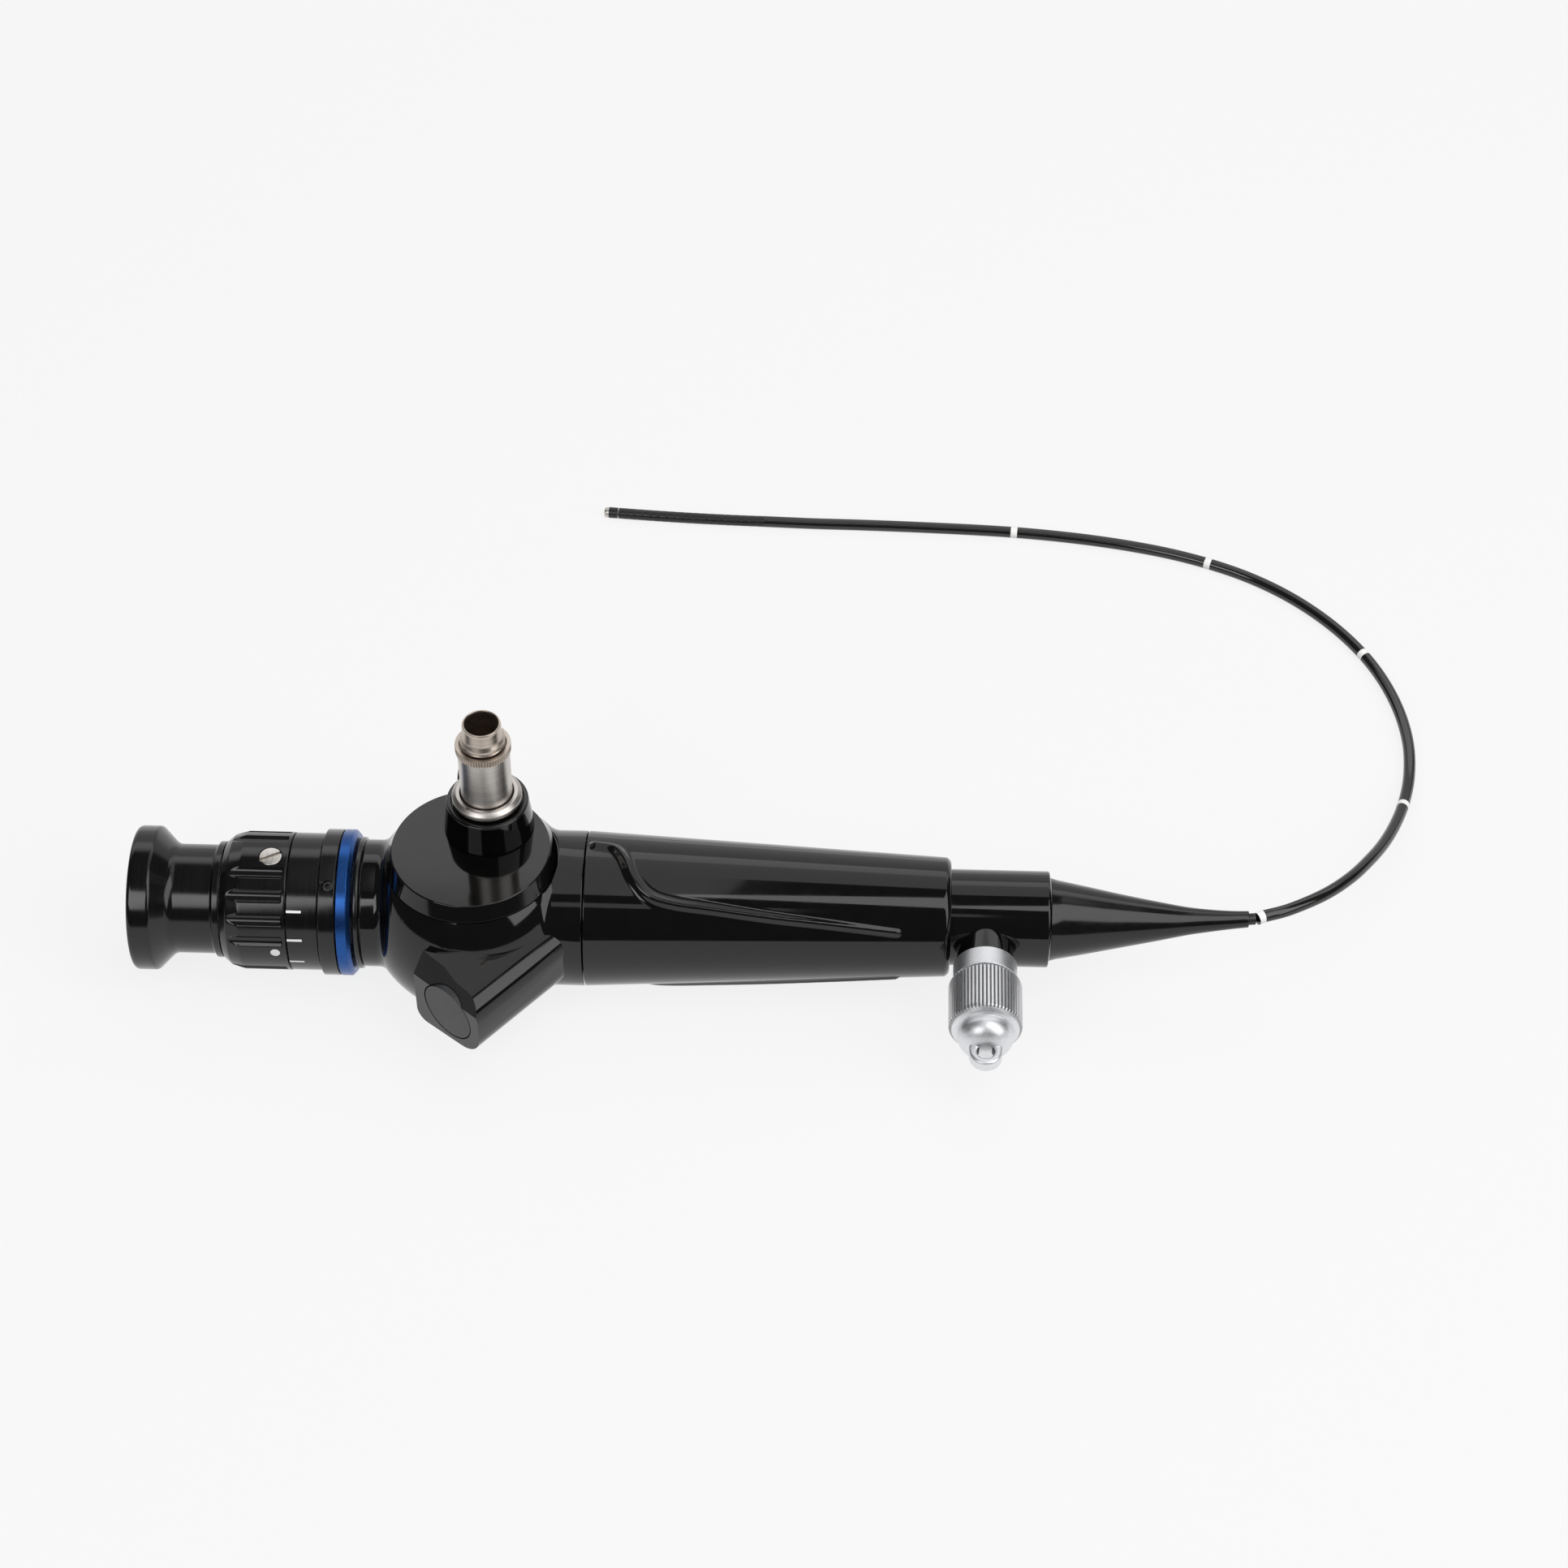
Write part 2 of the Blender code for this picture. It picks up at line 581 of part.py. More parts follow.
def make_dioptre_ring():
    rear = dioptre_x - DIOPTRE_WIDTH
    width = DIOPTRE_WIDTH
    ring_piece = turned("dioptre_ring", [
        (rear, DIOPTRE_REAR_RADIUS), (rear + 0.11 * width, DIOPTRE_RADIUS - 0.8 * mm),
        (rear + 0.3 * width, DIOPTRE_RADIUS), (dioptre_x - 0.2 * mm, DIOPTRE_RADIUS),
        (dioptre_x, DIOPTRE_RADIUS - 0.2 * mm), (dioptre_x, fit_radius), (rear, fit_radius),
    ], "satin_black", segments=30)
    screw_x = dioptre_x - SCREW_FROM_FRONT
    flutes = bmesh.new()
    pitch = 360.0 / FLUTE_COUNT
    length = DIOPTRE_WIDTH + 4 * mm
    for number in range(FLUTE_COUNT):
        angle = FLUTE_START_ANGLE + number * pitch
        off_screw = abs((angle - SCREW_ANGLE + 180.0) % 360.0 - 180.0)
        off_dot = abs((angle + 180.0) % 360.0 - 180.0)
        if off_screw < pitch / 2 or off_dot < pitch / 2:
            continue
        away = at_angle(angle) * (DIOPTRE_RADIUS - FLUTE_DEPTH + FLUTE_RADIUS)
        middle = Vector((dioptre_x - FLUTE_RIM - length / 2, away.y, away.z))
        bmesh.ops.create_cone(flutes, cap_ends=True, segments=8, radius1=FLUTE_RADIUS, radius2=FLUTE_RADIUS,
                              depth=length, matrix=Matrix.Translation(middle) @ Matrix.Rotation(pi / 2, 4, "Y"))
    cutter = as_part(add_mesh("flutes", flutes, cutters), None)
    cutter.location = centre
    seat = rod("dioptre_screw_seat", fit_radius + 0.3 * mm, EYECUP_RADIUS + 2 * mm, SCREW_RADIUS + GAP / 2,
               origin=centre + ALONG_X * screw_x, axis=at_angle(SCREW_ANGLE))
    cut_with(ring_piece, cutter, seat)
    screw = rod("dioptre_screw", fit_radius + 0.6 * mm, DIOPTRE_RADIUS - 0.1 * mm, SCREW_RADIUS, "steel",
                origin=centre + ALONG_X * screw_x, axis=at_angle(SCREW_ANGLE), segments=20)
    slot = block("dioptre_screw_slot", (-SCREW_SLOT / 2, -2 * SCREW_RADIUS, DIOPTRE_RADIUS - 0.9 * mm),
                 (SCREW_SLOT / 2, 2 * SCREW_RADIUS, DIOPTRE_RADIUS + 1 * mm),
                 origin=centre + ALONG_X * screw_x,
                 turn=at_angle(SCREW_ANGLE).to_track_quat("Z", "Y").to_matrix()
                 @ Matrix.Rotation(radians(-62.0), 3, "Z"))
    cut_with(screw, slot)


def make_eyepiece_rings():
    ring("scale_barrel", scale_x, SCALE_WIDTH, SCALE_RADIUS, "satin_black", 0.15 * mm)
    clamp = ring("clamp_ring", clamp_x, CLAMP_WIDTH, CLAMP_RADIUS, "satin_black", 0.2 * mm)
    screw_origin = centre + ALONG_X * (clamp_x - 0.42 * CLAMP_WIDTH)
    direction = at_angle(CLAMP_SCREW_ANGLE)
    hole = rod("clamp_screw_hole", TUBE_RADIUS, CLAMP_RADIUS + 1 * mm, CLAMP_SCREW_RADIUS + GAP / 2,
               origin=screw_origin, axis=direction, segments=16)
    cut_with(clamp, hole)
    screw = rod("clamp_screw", fit_radius, CLAMP_RADIUS - 0.15 * mm, CLAMP_SCREW_RADIUS, "steel",
                origin=screw_origin, axis=direction, segments=16)
    socket = rod("clamp_screw_socket", CLAMP_RADIUS - 1.2 * mm, CLAMP_RADIUS + 1 * mm,
                 CLAMP_SCREW_RADIUS / 2, origin=screw_origin, axis=direction, segments=6)
    cut_with(screw, socket)
    rear = blue_x - BLUE_WIDTH
    turned("blue_ring", [
        (rear, CLAMP_RADIUS - 0.1 * mm), (rear + 0.1 * mm, CLAMP_RADIUS), (blue_x - 0.8 * mm, CLAMP_RADIUS),
        (blue_x, CLAMP_RADIUS - 0.9 * mm), (blue_x, fit_radius), (rear, fit_radius),
    ], "blue_anodised", segments=26)
    edge = 0.45 * mm
    turned("sealing_ring", [
        (seal_x - SEAL_WIDTH, SEAL_RADIUS - edge), (seal_x - SEAL_WIDTH + edge, SEAL_RADIUS),
        (seal_x - edge, SEAL_RADIUS), (seal_x, SEAL_RADIUS - edge), (seal_x, fit_radius),
        (seal_x - SEAL_WIDTH, fit_radius),
    ], "seal_rubber", segments=26)


def make_ocular():
    outer = tube_bore - GAP
    start = tube_start_x + OCULAR_TRAVEL + 2.5 * mm
    end = start + OCULAR_LENGTH
    lens_radius = OCULAR_BORE - GAP
    lip = 1.0 * mm
    turned("ocular_cell", [(start, outer), (end, outer), (end, OCULAR_BORE), (start + lip, OCULAR_BORE),
                           (start + lip, OCULAR_BORE - lip), (start, OCULAR_BORE - lip)],
           "satin_black", segments=30)
    edge = start + lip + GAP
    bulge = LENS_THICKNESS / 4
    front = edge + LENS_THICKNESS
    turned("ocular_lens", [
        (edge, 0.0), (edge + bulge * 0.25, lens_radius * 0.5), (edge + bulge, lens_radius),
        (front - bulge, lens_radius), (front - bulge * 0.25, lens_radius * 0.5), (front, 0.0),
    ], "polymer_white", segments=24)
    mount_x = dioptre_x - 1.0 * mm
    turned("image_guide_mount", [
        (mount_x, outer), (mount_x + GUIDE_MOUNT_LENGTH, outer),
        (mount_x + GUIDE_MOUNT_LENGTH, GUIDE_RADIUS + GAP), (mount_x, GUIDE_RADIUS + GAP),
    ], "aluminium", segments=26)
    rod("image_guide", mount_x, guide_end_x, GUIDE_RADIUS, "fibre", segments=12)


def fillet_arc(sphere, neck, fillet, steps, side):
    # Blend between a neck and the sphere, from the neck towards the sphere
    reach = sqrt((sphere + fillet) ** 2 - (neck + fillet) ** 2)
    lean = asin((neck + fillet) / (sphere + fillet))
    points = []
    for step in range(steps + 1):
        turn = -pi / 2 + (pi / 2 - lean) * step / steps
        points.append((side * (reach + fillet * cos(turn) * -1.0), neck + fillet + fillet * sin(turn)))
    return points, pi / 2 - lean


def housing_outline():
    rear, rear_lean = fillet_arc(SPHERE_RADIUS, REAR_NECK_RADIUS, REAR_FILLET, 3, -1.0)
    front, front_lean = fillet_arc(SPHERE_RADIUS, FRONT_NECK_RADIUS, FRONT_FILLET, 3, 1.0)
    start = pi / 2 + rear_lean
    end = pi / 2 - front_lean
    steps = 10
    ball = []
    for step in range(1, steps):
        turn = start + (end - start) * step / steps
        ball.append((SPHERE_RADIUS * cos(turn), SPHERE_RADIUS * sin(turn)))
    seam = SEAM_X - GAP / 2
    spigot = handle_bore(SEAM_X + SPIGOT_LENGTH) - GAP
    edge = 0.2 * mm
    return ([(REAR_X, 0.0), (REAR_X, REAR_NECK_RADIUS - edge), (REAR_X + edge, REAR_NECK_RADIUS)] + rear + ball
            + front[::-1] + [(seam - edge, FRONT_NECK_RADIUS), (seam, FRONT_NECK_RADIUS - edge),
                             (seam, spigot), (SEAM_X + SPIGOT_LENGTH, spigot), (SEAM_X + SPIGOT_LENGTH, 0.0)])


def valve_turn():
    # Own X beside the valve's axis, own Y up, own Z outwards
    return Matrix((valve_side, ALONG_Z, -valve_in)).transposed()


def make_housing():
    housing = turned("control_housing", housing_outline(), "gloss_black", segments=40)
    left, right = -10.0 * mm, 9.5 * mm
    outline = rounded([
        (left, -9.1 * mm, 2.8 * mm), (right, -7.8 * mm, 4.0 * mm), (right, 8.0 * mm, 5.2 * mm),
        (1.0 * mm, 8.5 * mm, 0.0), (-3.4 * mm, 9.6 * mm, 0.0), (left, 9.8 * mm, 0.5 * mm),
    ])
    body = plate("valve_block", outline, VALVE_FACE - VALVE_BLOCK_LENGTH, VALVE_FACE, valve_turn(),
                 origin=valve_centre)
    lean = valve_turn() @ Matrix.Rotation(radians(-VALVE_LEAN), 3, "X")
    crease = valve_centre - valve_in * VALVE_FACE + ALONG_Z * VALVE_CREASE
    slope = block("valve_slope", (-15 * mm, 0.0, 0.0), (15 * mm, 15 * mm, 10 * mm), origin=crease, turn=lean)
    join_with(housing, body)
    bore = BUTTON_RADIUS + GAP
    chamber = rod("chamber", -30 * mm, 30 * mm, CHAMBER_RADIUS, axis=ALONG_Z, segments=26)
    top = rod("cover_seat", TOP_FLAT, TOP_FLAT + 20 * mm, COVER_RADIUS + 0.4 * mm, axis=ALONG_Z, segments=30)
    bottom = rod("hub_seat", -BOTTOM_FLAT - 20 * mm, -BOTTOM_FLAT, HUB_RADIUS + 1.1 * mm, axis=ALONG_Z,
                 segments=30)
    rear = rod("rear_bore", REAR_X - 5 * mm, tube_end_x + GAP, fit_radius, segments=30)
    passage = rod("rear_passage", REAR_X, 0.0, REAR_PASSAGE)
    front = rod("front_bore", 0.0, SEAM_X + 10 * mm, FRONT_BORE, segments=30)
    inwards = -valve_in
    button_bore = rod("button_bore", button_floor(), VALVE_FACE + 5 * mm, bore, origin=valve_centre,
                      axis=inwards, segments=26)
    stem_bore = rod("stem_bore", stem_end() - 0.8 * mm, VALVE_FACE, STEM_RADIUS + 0.8 * mm,
                    origin=valve_centre, axis=inwards, segments=20)
    suction_bore = rod("suction_bore", -2.0 * mm, stem_end(), SUCTION_RADIUS + 2 * GAP, origin=valve_centre,
                       axis=inwards, segments=16)
    cut_with(housing, slope, chamber, top, bottom, rear, passage, front, button_bore, stem_bore, suction_bore)


def button_floor():
    # Floor of the button's bore, from the housing's centre
    return VALVE_FACE - BUTTON_LENGTH - BUTTON_TRAVEL - 1.5 * mm


def stem_end():
    return VALVE_FACE - BUTTON_LENGTH - STEM_LENGTH - BUTTON_TRAVEL - GAP


def make_valve():
    outwards = -valve_in
    floor = button_floor() + 0.1 * mm
    seat_top = floor + 1.0 * mm
    turned("valve_seat", [(floor, BUTTON_RADIUS), (seat_top, BUTTON_RADIUS), (seat_top, STEM_RADIUS + GAP),
                          (floor, STEM_RADIUS + GAP)], "steel", origin=valve_centre, axis=outwards, segments=24)
    under = VALVE_FACE - BUTTON_LENGTH
    pocket = under + BUTTON_POCKET_DEPTH
    turned("valve_button", [
        (under - STEM_LENGTH, 0.0), (under - STEM_LENGTH, STEM_RADIUS), (pocket, STEM_RADIUS),
        (pocket, BUTTON_POCKET_RADIUS), (under, BUTTON_POCKET_RADIUS), (under, BUTTON_RADIUS),
        (VALVE_FACE - 0.2 * mm, BUTTON_RADIUS), (VALVE_FACE, BUTTON_RADIUS - 0.2 * mm), (VALVE_FACE, 0.0),
    ], "gloss_black", origin=valve_centre, axis=outwards, segments=30)
    low = seat_top + SPRING_WIRE + GAP / 2
    high = pocket - SPRING_WIRE - GAP / 2
    steps = SPRING_TURNS * 8
    points = []
    for step in range(steps + 1):
        share = step / steps
        turn = 2 * pi * SPRING_TURNS * share
        points.append((SPRING_RADIUS * cos(turn), SPRING_RADIUS * sin(turn), low + (high - low) * share))
    spring = tube("valve_spring", points, SPRING_WIRE, "steel", resolution=1, origin=valve_centre)
    spring.rotation_euler = outwards.to_track_quat("Z", "Y").to_euler()


def make_cover_and_post():
    cover = turned("side_cover", [
        (cover_bottom - COVER_PLUG, 0.0), (cover_bottom - COVER_PLUG, CHAMBER_RADIUS - GAP),
        (cover_bottom, CHAMBER_RADIUS - GAP), (cover_bottom, COVER_RADIUS),
        (cover_top - 0.2 * mm, COVER_TOP_RADIUS + 0.1 * mm), (cover_top, COVER_TOP_RADIUS - 0.15 * mm),
        (cover_top, 0.0),
    ], "gloss_black", axis=ALONG_Z, segments=30)
    post = centre + Vector((POST_X, POST_Y, 0.0))
    hole = rod("bundle_hole", cover_bottom - COVER_PLUG - 1 * mm, cover_top + 1 * mm, BUNDLE_RADIUS + GAP,
               origin=post, axis=ALONG_Z)
    cut_with(cover, hole)
    bore = POST_RADIUS + GAP
    turned("light_post_socket", [
        (socket_bottom, SOCKET_RADIUS), (socket_top - 0.4 * mm, SOCKET_TOP_RADIUS + 0.05 * mm),
        (socket_top, SOCKET_TOP_RADIUS - 0.35 * mm), (socket_top, bore), (socket_bottom, bore),
    ], "gloss_black", origin=post, axis=ALONG_Z, segments=26)
    flange = turned("light_post_flange", [
        (flange_bottom, FLANGE_RADIUS - 0.5 * mm), (flange_bottom + 0.6 * mm, FLANGE_RADIUS),
        (flange_top - 0.5 * mm, FLANGE_RADIUS), (flange_top, FLANGE_RADIUS - 0.5 * mm), (flange_top, bore),
        (flange_bottom, bore),
    ], "steel", origin=post, axis=ALONG_Z, segments=30)
    pin = rod("flange_pin_hole", flange_top - 0.8 * mm, flange_top + 1 * mm, 0.3 * mm,
              origin=post + Vector((-3.6 * mm, -5.55 * mm, 0.0)), axis=ALONG_Z, segments=10)
    cut_with(flange, pin)
    shelf = flange_top + 1.5 * mm
    turned("light_post", [
        (socket_bottom, POST_RADIUS), (thread_bottom, POST_RADIUS), (thread_bottom, POST_THREAD_RADIUS),
        (thread_top - 0.8 * mm, POST_THREAD_RADIUS), (thread_top, POST_TOP_RADIUS),
        (post_top - 0.3 * mm, POST_TOP_RADIUS), (post_top, POST_TOP_RADIUS - 0.25 * mm),
        (post_top, POST_BORE + 0.1 * mm), (post_top - 0.3 * mm, POST_BORE), (shelf, POST_BORE),
        (shelf, BUNDLE_RADIUS + GAP), (socket_bottom, BUNDLE_RADIUS + GAP),
    ], "steel", origin=post, axis=ALONG_Z, segments=30)
    low = thread_bottom + 0.2 * mm
    collar = toothed("knurled_collar", low, low + COLLAR_HEIGHT, COLLAR_RADIUS, 0.22 * mm, COLLAR_TEETH,
                     "steel", post, ALONG_Z)
    collar_bore = rod("collar_bore", low - 1 * mm, low + COLLAR_HEIGHT + 1 * mm, POST_THREAD_RADIUS + GAP,
                      origin=post, axis=ALONG_Z, segments=30)
    cut_with(collar, collar_bore)
    route = [(POST_X, POST_Y, shelf + 0.8 * mm), (POST_X, POST_Y, cover_top), (POST_X, POST_Y, 11.5 * mm),
             (4.6 * mm, 6.8 * mm, 7.6 * mm), (8.0 * mm, 5.4 * mm, 3.6 * mm), (12.5 * mm, 3.8 * mm, 1.0 * mm),
             (chassis_start_x - 2.8 * mm, BUNDLE_OFFSET, 0.0),
             (chassis_start_x + 2.2 * mm, BUNDLE_OFFSET, 0.0)]
    bend = curve_through(route[2:], 3.0 * mm)
    straight = [Vector((guide_end_x, BUNDLE_OFFSET, 0.0))]
    tube("light_guide_bundle", [Vector(route[0])] + bend + straight, BUNDLE_RADIUS, "fibre", origin=centre)


def toothed(name, low, high, radius, depth, teeth, kind, origin, axis):
    # Bar with straight teeth, from a circle whose points lie high and low in turn
    shape = bmesh.new()
    bmesh.ops.create_circle(shape, cap_ends=True, radius=radius, segments=2 * teeth,
                            matrix=Matrix.Translation((0.0, 0.0, low)))
    shape.verts.ensure_lookup_table()
    for vert in list(shape.verts)[::2]:
        vert.co.xy *= (radius - depth) / radius
    face = shape.faces[:]
    grown = bmesh.ops.extrude_face_region(shape, geom=face)
    moved = [item for item in grown["geom"] if isinstance(item, bmesh.types.BMVert)]
    bmesh.ops.translate(shape, vec=(0.0, 0.0, high - low), verts=moved)
    bmesh.ops.recalc_face_normals(shape, faces=shape.faces)
    piece = add_mesh(name, shape, parts if kind else cutters)
    place(piece, origin, axis)
    return as_part(piece, kind)


def handle_radius(x):
    share = (x - SEAM_X) / HANDLE_LENGTH
    return FRONT_NECK_RADIUS + (HANDLE_FRONT_RADIUS - FRONT_NECK_RADIUS) * share


def handle_bore(x):
    share = (x - SEAM_X) / HANDLE_LENGTH
    return HANDLE_BORE_REAR + (HANDLE_BORE_FRONT - HANDLE_BORE_REAR) * share


def make_handle():
    start, end, edge = handle_start_x, handle_end_x, HANDLE_EDGE
    handle = turned("grip_handle", [
        (start, handle_radius(start) - 0.2 * mm), (start + 0.2 * mm, handle_radius(start)),
        (end - edge, handle_radius(end)), (end - 0.3 * edge, handle_radius(end) - 0.25 * edge),
        (end, handle_radius(end) - 0.8 * edge), (end, handle_bore(end)), (start, handle_bore(start)),
    ], "gloss_black", segments=30)
    for name, side in (("upper_rib", 1.0), ("lower_rib", -1.0)):
        stations = curve_through([(x * mm, angle * 0.1 * mm, share * mm) for x, angle, share in RIB_ROUTE], 3.4 * mm)
        points = []
        for station in stations:
            x = SEAM_X + station.x
            away = at_angle(side * station.y / (0.1 * mm)) * (handle_radius(x) + RIB_PROUD)
            points.append((x, away.y, away.z))
        rib = tube(name, points, RIB_RADIUS, shares=[station.z / mm for station in stations], origin=centre)
        join_with(handle, rib)


def wire_point(side, x):
    # Centre line of a pull wire, straight from beside the drum to the coil pipe's front end
    share = x / wire_front_x
    offset = WIRE_OFFSET + (WIRE_FRONT_OFFSET - WIRE_OFFSET) * share
    depth = WIRE_DEPTH + (WIRE_FRONT_DEPTH - WIRE_DEPTH) * share
    return centre + Vector((x, side * offset, -depth))


def make_chassis():
    rear_end = chassis_start_x + CHASSIS_REAR_FLANGE
    front_start = chassis_end_x - CHASSIS_FRONT_FLANGE
    rear_radius = FRONT_BORE - GAP
    front_radius = handle_bore(chassis_end_x) - GAP
    chassis = turned("chassis_tube", [
        (chassis_start_x, rear_radius), (rear_end, rear_radius), (rear_end, CHASSIS_RADIUS),
        (front_start, CHASSIS_RADIUS), (front_start, front_radius), (chassis_end_x, front_radius),
        (chassis_end_x, CHASSIS_BORE), (chassis_start_x, CHASSIS_BORE),
    ], "aluminium", segments=26)
    suction = centre - ALONG_Y * SUCTION_OFFSET
    cut_with(chassis, rod("suction_hole", chassis_start_x - 1 * mm, chassis_end_x + 1 * mm, SUCTION_RADIUS + GAP,
                          origin=suction, segments=14))
    for name, side in (("up", 1.0), ("down", -1.0)):
        start = wire_point(side, 0.0)
        along = (wire_point(side, wire_front_x) - start).normalized()
        stretch = 1.0 / along.x
        wire_hole = rod("wire_hole_" + name, (chassis_start_x - 1 * mm) * stretch, (rear_end + 1 * mm) * stretch,
                        WIRE_RADIUS + 2 * GAP, origin=start, axis=along, segments=12)
        pipe_hole = rod("pipe_hole_" + name, (front_start - 1 * mm) * stretch, (chassis_end_x + 1 * mm) * stretch,
                        PIPE_RADIUS + GAP, origin=start, axis=along, segments=16)
        cut_with(chassis, wire_hole, pipe_hole)
        pipe_start = front_start * stretch
        pipe_end = wire_front_x * stretch
        turned("coil_pipe_" + name, [(pipe_start, PIPE_RADIUS), (pipe_end, PIPE_RADIUS), (pipe_end, PIPE_BORE),
                                     (pipe_start, PIPE_BORE)], "steel", origin=start, axis=along, segments=14)
        rod("pull_wire_" + name, WIRE_START_X * stretch, wire_end_x * stretch, WIRE_RADIUS, "steel",
            origin=start, axis=along, segments=8)


def make_lever():
    under = centre
    turned("bearing_plate", [
        (-BOTTOM_FLAT, CHAMBER_RADIUS - GAP), (plate_top, CHAMBER_RADIUS - GAP), (plate_top, SHAFT_RADIUS + GAP),
        (-BOTTOM_FLAT, SHAFT_RADIUS + GAP),
    ], "brass", origin=under, axis=ALONG_Z, segments=30)
    web = hub_top - HUB_WEB
    recess = CAP_RADIUS + GAP
    lever = turned("lever", [
        (hub_bottom, HUB_BOTTOM_RADIUS), (hub_top - 0.4 * mm, HUB_RADIUS), (hub_top, HUB_RADIUS - 0.3 * mm),
        (hub_top, SHAFT_RADIUS + GAP), (web, SHAFT_RADIUS + GAP), (web, recess), (hub_bottom, recess),
    ], "satin_black", axis=ALONG_Z, segments=30)
    inner = ARM_REACH - ARM_THICKNESS
    low, high = hub_bottom + ARM_INSET, hub_top - ARM_INSET
    outline = rounded([
        (CAP_RADIUS + 3 * mm, low, 0.0), (ARM_REACH, low, ARM_BEND),
        (ARM_REACH, ARM_TOP, 1.2 * mm), (inner, ARM_TOP, 1.2 * mm),
        (inner, high, ARM_BEND - ARM_THICKNESS), (CAP_RADIUS + 3 * mm, high, 0.0),
    ])
    turn = Matrix((ALONG_Y, ALONG_Z, ALONG_X)).transposed()
    arm = plate("lever_arm", outline, ARM_CENTRE_X - ARM_WIDTH / 2, ARM_CENTRE_X + ARM_WIDTH / 2, turn)
    join_with(lever, arm)
    for number in range(PADDLE_RIB_COUNT):
        height = ARM_TOP - 1.6 * mm - number * PADDLE_RIB_PITCH
        rib = rod("paddle_rib_%d" % (number + 1), ARM_CENTRE_X - ARM_WIDTH / 2 + 0.6 * mm,
                  ARM_CENTRE_X + ARM_WIDTH / 2 - 0.6 * mm, PADDLE_RIB_RADIUS,
                  origin=centre + Vector((0.0, ARM_REACH, height)), segments=10)
        join_with(lever, rib)
    shaft_bottom = web + GAP
    turned("lever_shaft", [(shaft_bottom, SHAFT_RADIUS), (drum_top - GAP, SHAFT_RADIUS),
                           (drum_top - GAP, SHAFT_BORE), (shaft_bottom, SHAFT_BORE)], "steel",
           axis=ALONG_Z, segments=24)
    bore = SHAFT_RADIUS + GAP
    groove = DRUM_RADIUS - DRUM_GROOVE
    middle = (drum_bottom + drum_top) / 2
    turned("wire_drum", [
        (drum_bottom, DRUM_RADIUS), (middle - 0.8 * mm, DRUM_RADIUS), (middle - 0.5 * mm, groove),
        (middle + 0.5 * mm, groove), (middle + 0.8 * mm, DRUM_RADIUS), (drum_top, DRUM_RADIUS),
        (drum_top, bore), (drum_bottom, bore),
    ], "aluminium", axis=ALONG_Z, segments=26)
    cap_top = web - GAP
    edge = 0.4 * mm
    turned("hub_cap", [
        (-AXIS_HEIGHT, 0.0), (-AXIS_HEIGHT, CAP_RADIUS - edge), (-AXIS_HEIGHT + edge, CAP_RADIUS),
        (cap_top, CAP_RADIUS), (cap_top, STUD_RADIUS), (bridge_bottom - GAP, STUD_RADIUS),
        (bridge_bottom - GAP, 0.0),
    ], "steel", axis=ALONG_Z, segments=26)
    half = sqrt((CHAMBER_RADIUS - GAP) ** 2 - (BRIDGE_WIDTH / 2) ** 2)
    block("stud_bridge", (-BRIDGE_WIDTH / 2, -half, bridge_bottom),
          (BRIDGE_WIDTH / 2, half, bridge_bottom + BRIDGE_THICKNESS), "brass")


def make_suction_tube():
    route = [valve_centre - centre - valve_in * (stem_end() - 0.5 * mm),
             valve_centre - centre - valve_in * 5.0 * mm, valve_centre - centre - valve_in * 1.0 * mm,
             Vector((chassis_start_x - 2.8 * mm, -SUCTION_OFFSET - 0.6 * mm, 0.0)),
             Vector((chassis_start_x + 1.2 * mm, -SUCTION_OFFSET, 0.0)),
             Vector((chassis_start_x + 6.2 * mm, -SUCTION_OFFSET, 0.0))]
    leave = [Vector((chassis_end_x + 3 * mm, -SUCTION_OFFSET, 0.0)), Vector((chassis_end_x + 8 * mm, -7.6 * mm, 0.0)),
             Vector((neck_start_x, -6.7 * mm, 0.0)), Vector((port_x - 3.4 * mm, -6.0 * mm, 0.0))]
    tube("suction_tube", curve_through(route, 3.0 * mm) + curve_through(leave, 4.0 * mm), SUCTION_RADIUS,
         "polymer_white", origin=centre)


